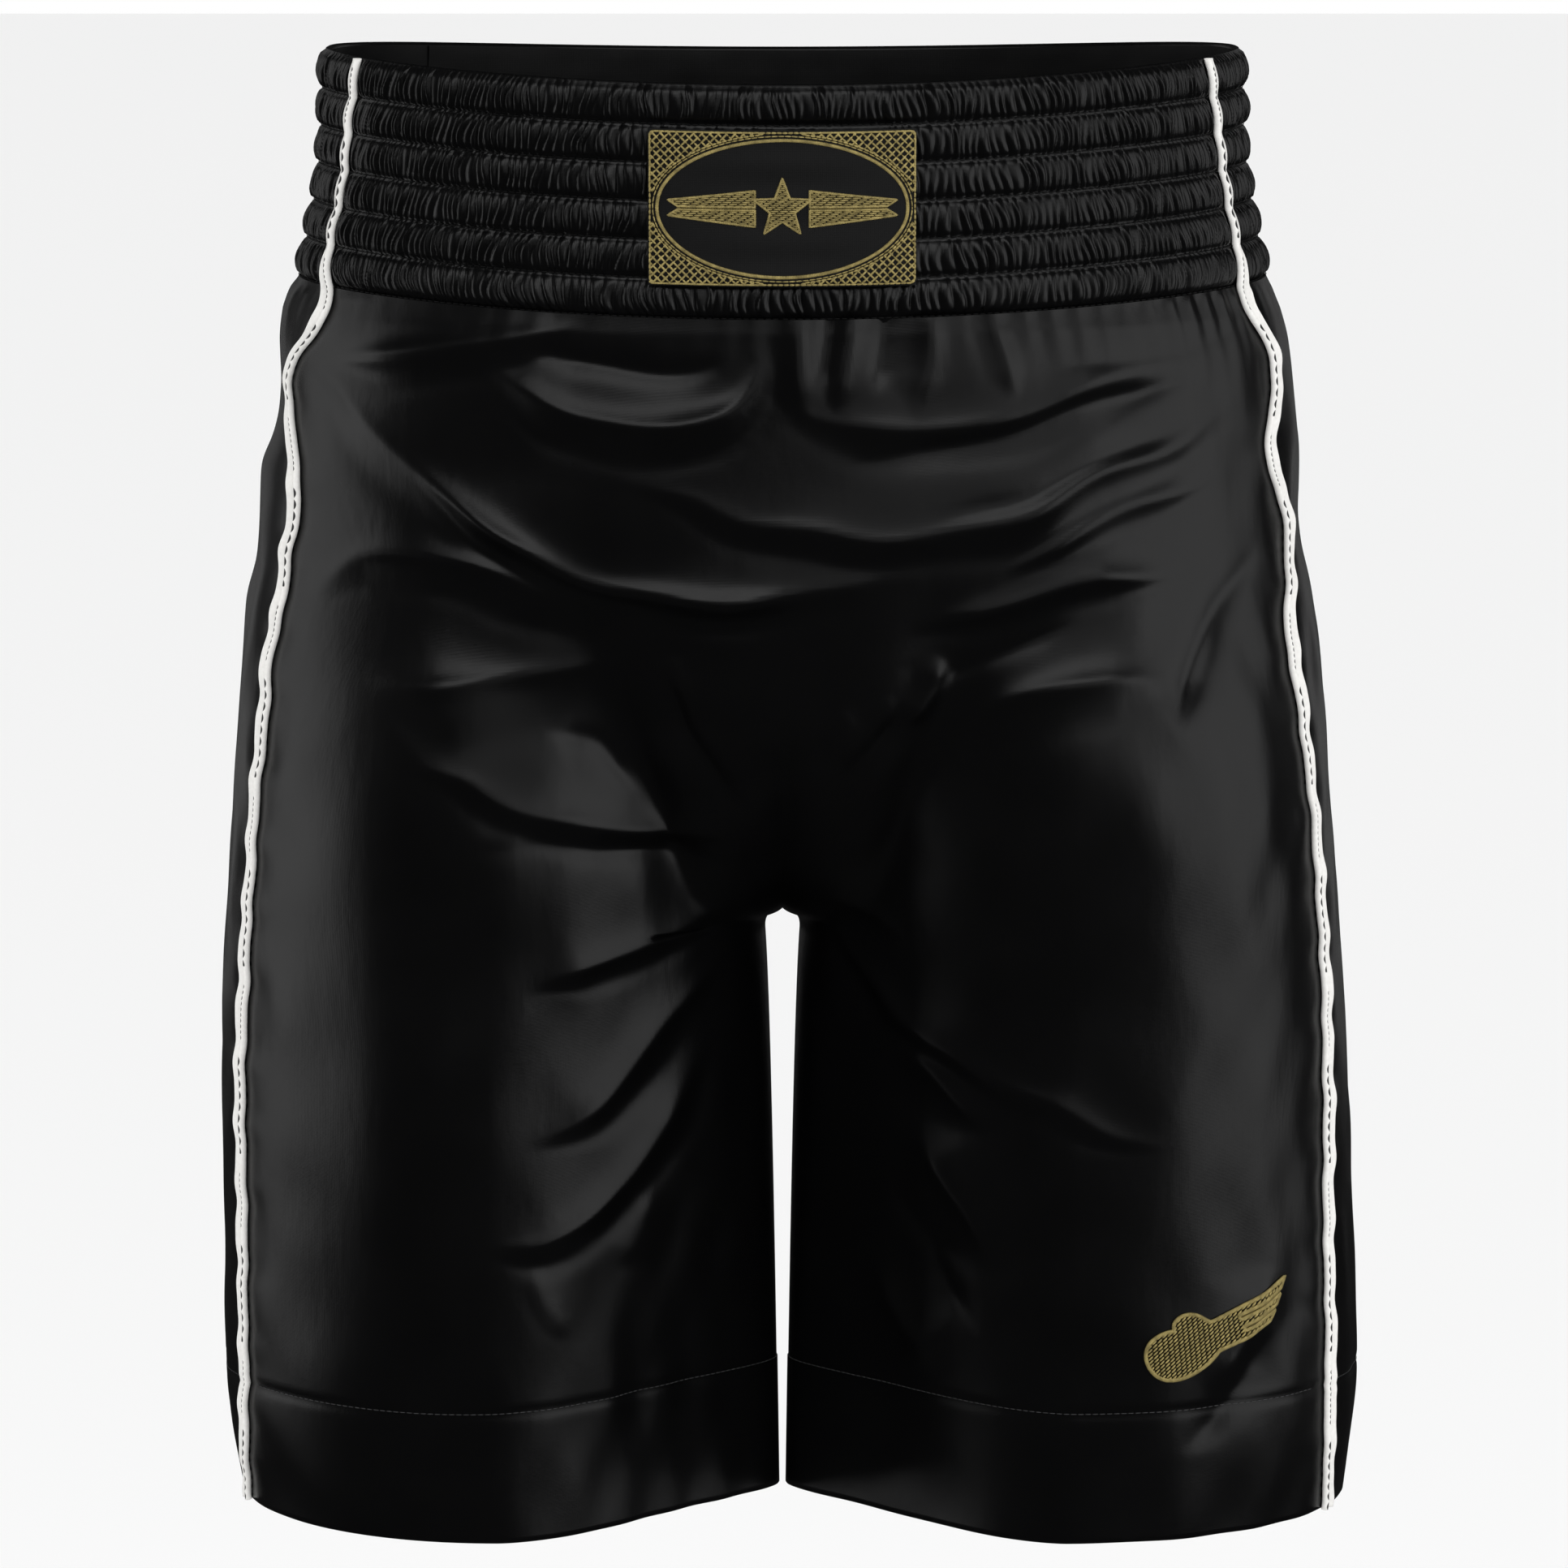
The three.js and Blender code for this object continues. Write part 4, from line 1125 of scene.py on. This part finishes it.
def running_stitches(name, line, outward, radius, material, *nodes):
    """One row of stitches along a dense line of points."""
    run = run_along(line)
    at = np.arange(0, run[-1] - SEWN.stitch, SEWN.stitch)

    def along(values, where):
        return np.stack([np.interp(where, run, values[:, k]) for k in range(3)], -1)

    starts, ends = along(line, at), along(line, at + SEWN.stitch - SEWN.gap)
    place_piece(stitches(name, starts, ends, along(outward, at), radius, material), "sewing_thread", *nodes)


def make_hem_stitching(side):
    """The row round one leg, open where the side seam's tape crosses it."""
    height = np.array(HEM_Z + HEM_DEPTH)
    seam = seam_turn(side, height)
    open_turn = SEWN.clearance / skin_frame(seam, height)[3]
    turn = np.linspace(seam + open_turn, seam - open_turn + pi, SEWN.leg_points) % pi
    line = cloth(side, turn, height, SEWN.lift)
    outward = cloth(side, turn, height, SEWN.lift + 1) - line
    name = f"hem_thread_{WORD[side]}"
    running_stitches(name, line, outward, SEWN.radius, SEWING, f"hem_stitching_{WORD[side]}")


def make_band_stitching():
    """The rows between the channels and the row that joins the band to the panels."""
    turn = np.linspace(0, 2 * pi, SEWN.band_points)
    for k in range(1, CHANNELS + 1):
        last = k == CHANNELS
        z = -PITCH * k - SEWN.seam_drop * last
        line = on_band(turn, z, SEWN.sunk_lift - TUCK)
        outward = on_band(turn, z, 1.0) - on_band(turn, z, 0.0)
        name = "waist_seam_thread" if last else f"channel_thread_{k}"
        cad_node = "waist_seam_stitching" if last else f"channel_stitching_{k}"
        # the channel rows take the thread painted dark as the grooves' shade
        running_stitches(name, line, outward, SEWN.sunk_radius, GROOVE_SHADED_SEWING, cad_node)


# ---- the studio
CAMERA_AT = (0.0006, -3.0, 0.21)
CAMERA_AIM = (0.0006, 0.0, -0.280)
CAMERA_LENS = 183
FLOOR_Z = -1.3
FLOOR_HALF = 20000.0  # half the floor's width, in millimetres
GLOSS_ROOM = 0.02  # how bright the room is for gloss
# Softboxes: (name, place, what it faces, width, height, watts)
LIGHTS = [
    ("top_front", (0.0, -1.8, 1.3), (0, 0, -0.2), 2.6, 0.9, 10),
    ("front", (1.2, -2.6, 0.35), (0.1, 0, -0.15), 2.8, 1.0, 3.0),
    ("left_side", (-1.9, 0.1, -0.1), (0, 0, -0.3), 1.2, 1.7, 6),
    ("right_side", (1.75, -0.75, -0.1), (0, 0, -0.3), 1.9, 1.7, 9),
    ("left_rim", (-1.3, 2.0, 0.1), (0, 0, -0.3), 0.8, 1.8, 1.2),
    ("right_rim", (1.3, 2.0, 0.1), (0, 0, -0.3), 0.8, 1.8, 1.2),
]


def add_to_studio(name, data, place, target):
    """Puts a camera or lamp in its place, turned to a target."""
    added = bpy.data.objects.new(name, data)
    bpy.context.scene.collection.objects.link(added)
    added.location = place
    added.rotation_euler = (Vector(target) - Vector(place)).to_track_quat("-Z", "Y").to_euler()
    return added


def add_camera():
    lens = bpy.data.cameras.new("camera")
    lens.lens = CAMERA_LENS
    bpy.context.scene.camera = add_to_studio("camera", lens, CAMERA_AT, CAMERA_AIM)


def add_lights():
    for name, place, target, width, height, watts in LIGHTS:
        lamp = bpy.data.lights.new(name, "AREA")
        lamp.shape = "RECTANGLE"
        lamp.size = width
        lamp.size_y = height
        lamp.energy = watts
        add_to_studio(name, lamp, place, target).visible_camera = False


def add_world():
    """A pale room that gloss sees as dim, so that black satin stays black between softboxes."""
    world = bpy.data.worlds.new("studio")
    bpy.context.scene.world = world
    world.use_nodes = True
    tree = world.node_tree
    pale = tree.nodes["Background"]
    feed(pale.inputs["Color"], (1, 1, 1, 1))
    feed(pale.inputs["Strength"], 1.0)
    dim = node(tree, "ShaderNodeBackground", {"Color": (1, 1, 1, 1), "Strength": GLOSS_ROOM})
    glossy = node(tree, "ShaderNodeLightPath").outputs["Is Glossy Ray"]
    inputs = {0: glossy, 1: pale.outputs["Background"], 2: dim.outputs["Background"]}
    mix = node(tree, "ShaderNodeMixShader", inputs)
    feed(tree.nodes["World Output"].inputs["Surface"], mix.outputs["Shader"])


def add_floor():
    corners = np.array([(-1, -1, 0), (1, -1, 0), (1, 1, 0), (-1, 1, 0)]) * FLOOR_HALF
    material, _, _ = new_material("floor", (0.95, 0.95, 0.95), 0.9)
    floor = new_object("floor", corners + (0, 0, FLOOR_Z / MM), [[0, 1, 2, 3]], material)
    floor.visible_glossy = False


def keep_cad_elastics():
    """The elastics inside the channels keep their CAD shape."""
    for k in range(1, CHANNELS + 1):
        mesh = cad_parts[f"elastic_band_{k}"].data
        mesh.materials.clear()
        mesh.materials.append(ELASTIC)


add_camera()
add_world()
add_lights()
add_floor()
keep_cad_elastics()
make_band("front", lambda z: (-seam_turn(-1, z), seam_turn(1, z)), -BAND.half_turn, BAND.half_turn)
make_band(
    "back", lambda z: (seam_turn(1, z), 2 * pi - seam_turn(-1, z)),
    BAND.half_turn, 2 * pi - BAND.half_turn,
)
make_facing()
for wearer_side in (1, -1):
    make_panel(wearer_side, "front")
    make_panel(wearer_side, "back")
    make_piping(wearer_side)
    make_hem_stitching(wearer_side)
make_band_stitching()
make_label_threads()
make_star()
make_label()
make_emblem()

bpy.context.scene.view_settings.view_transform = "Standard"
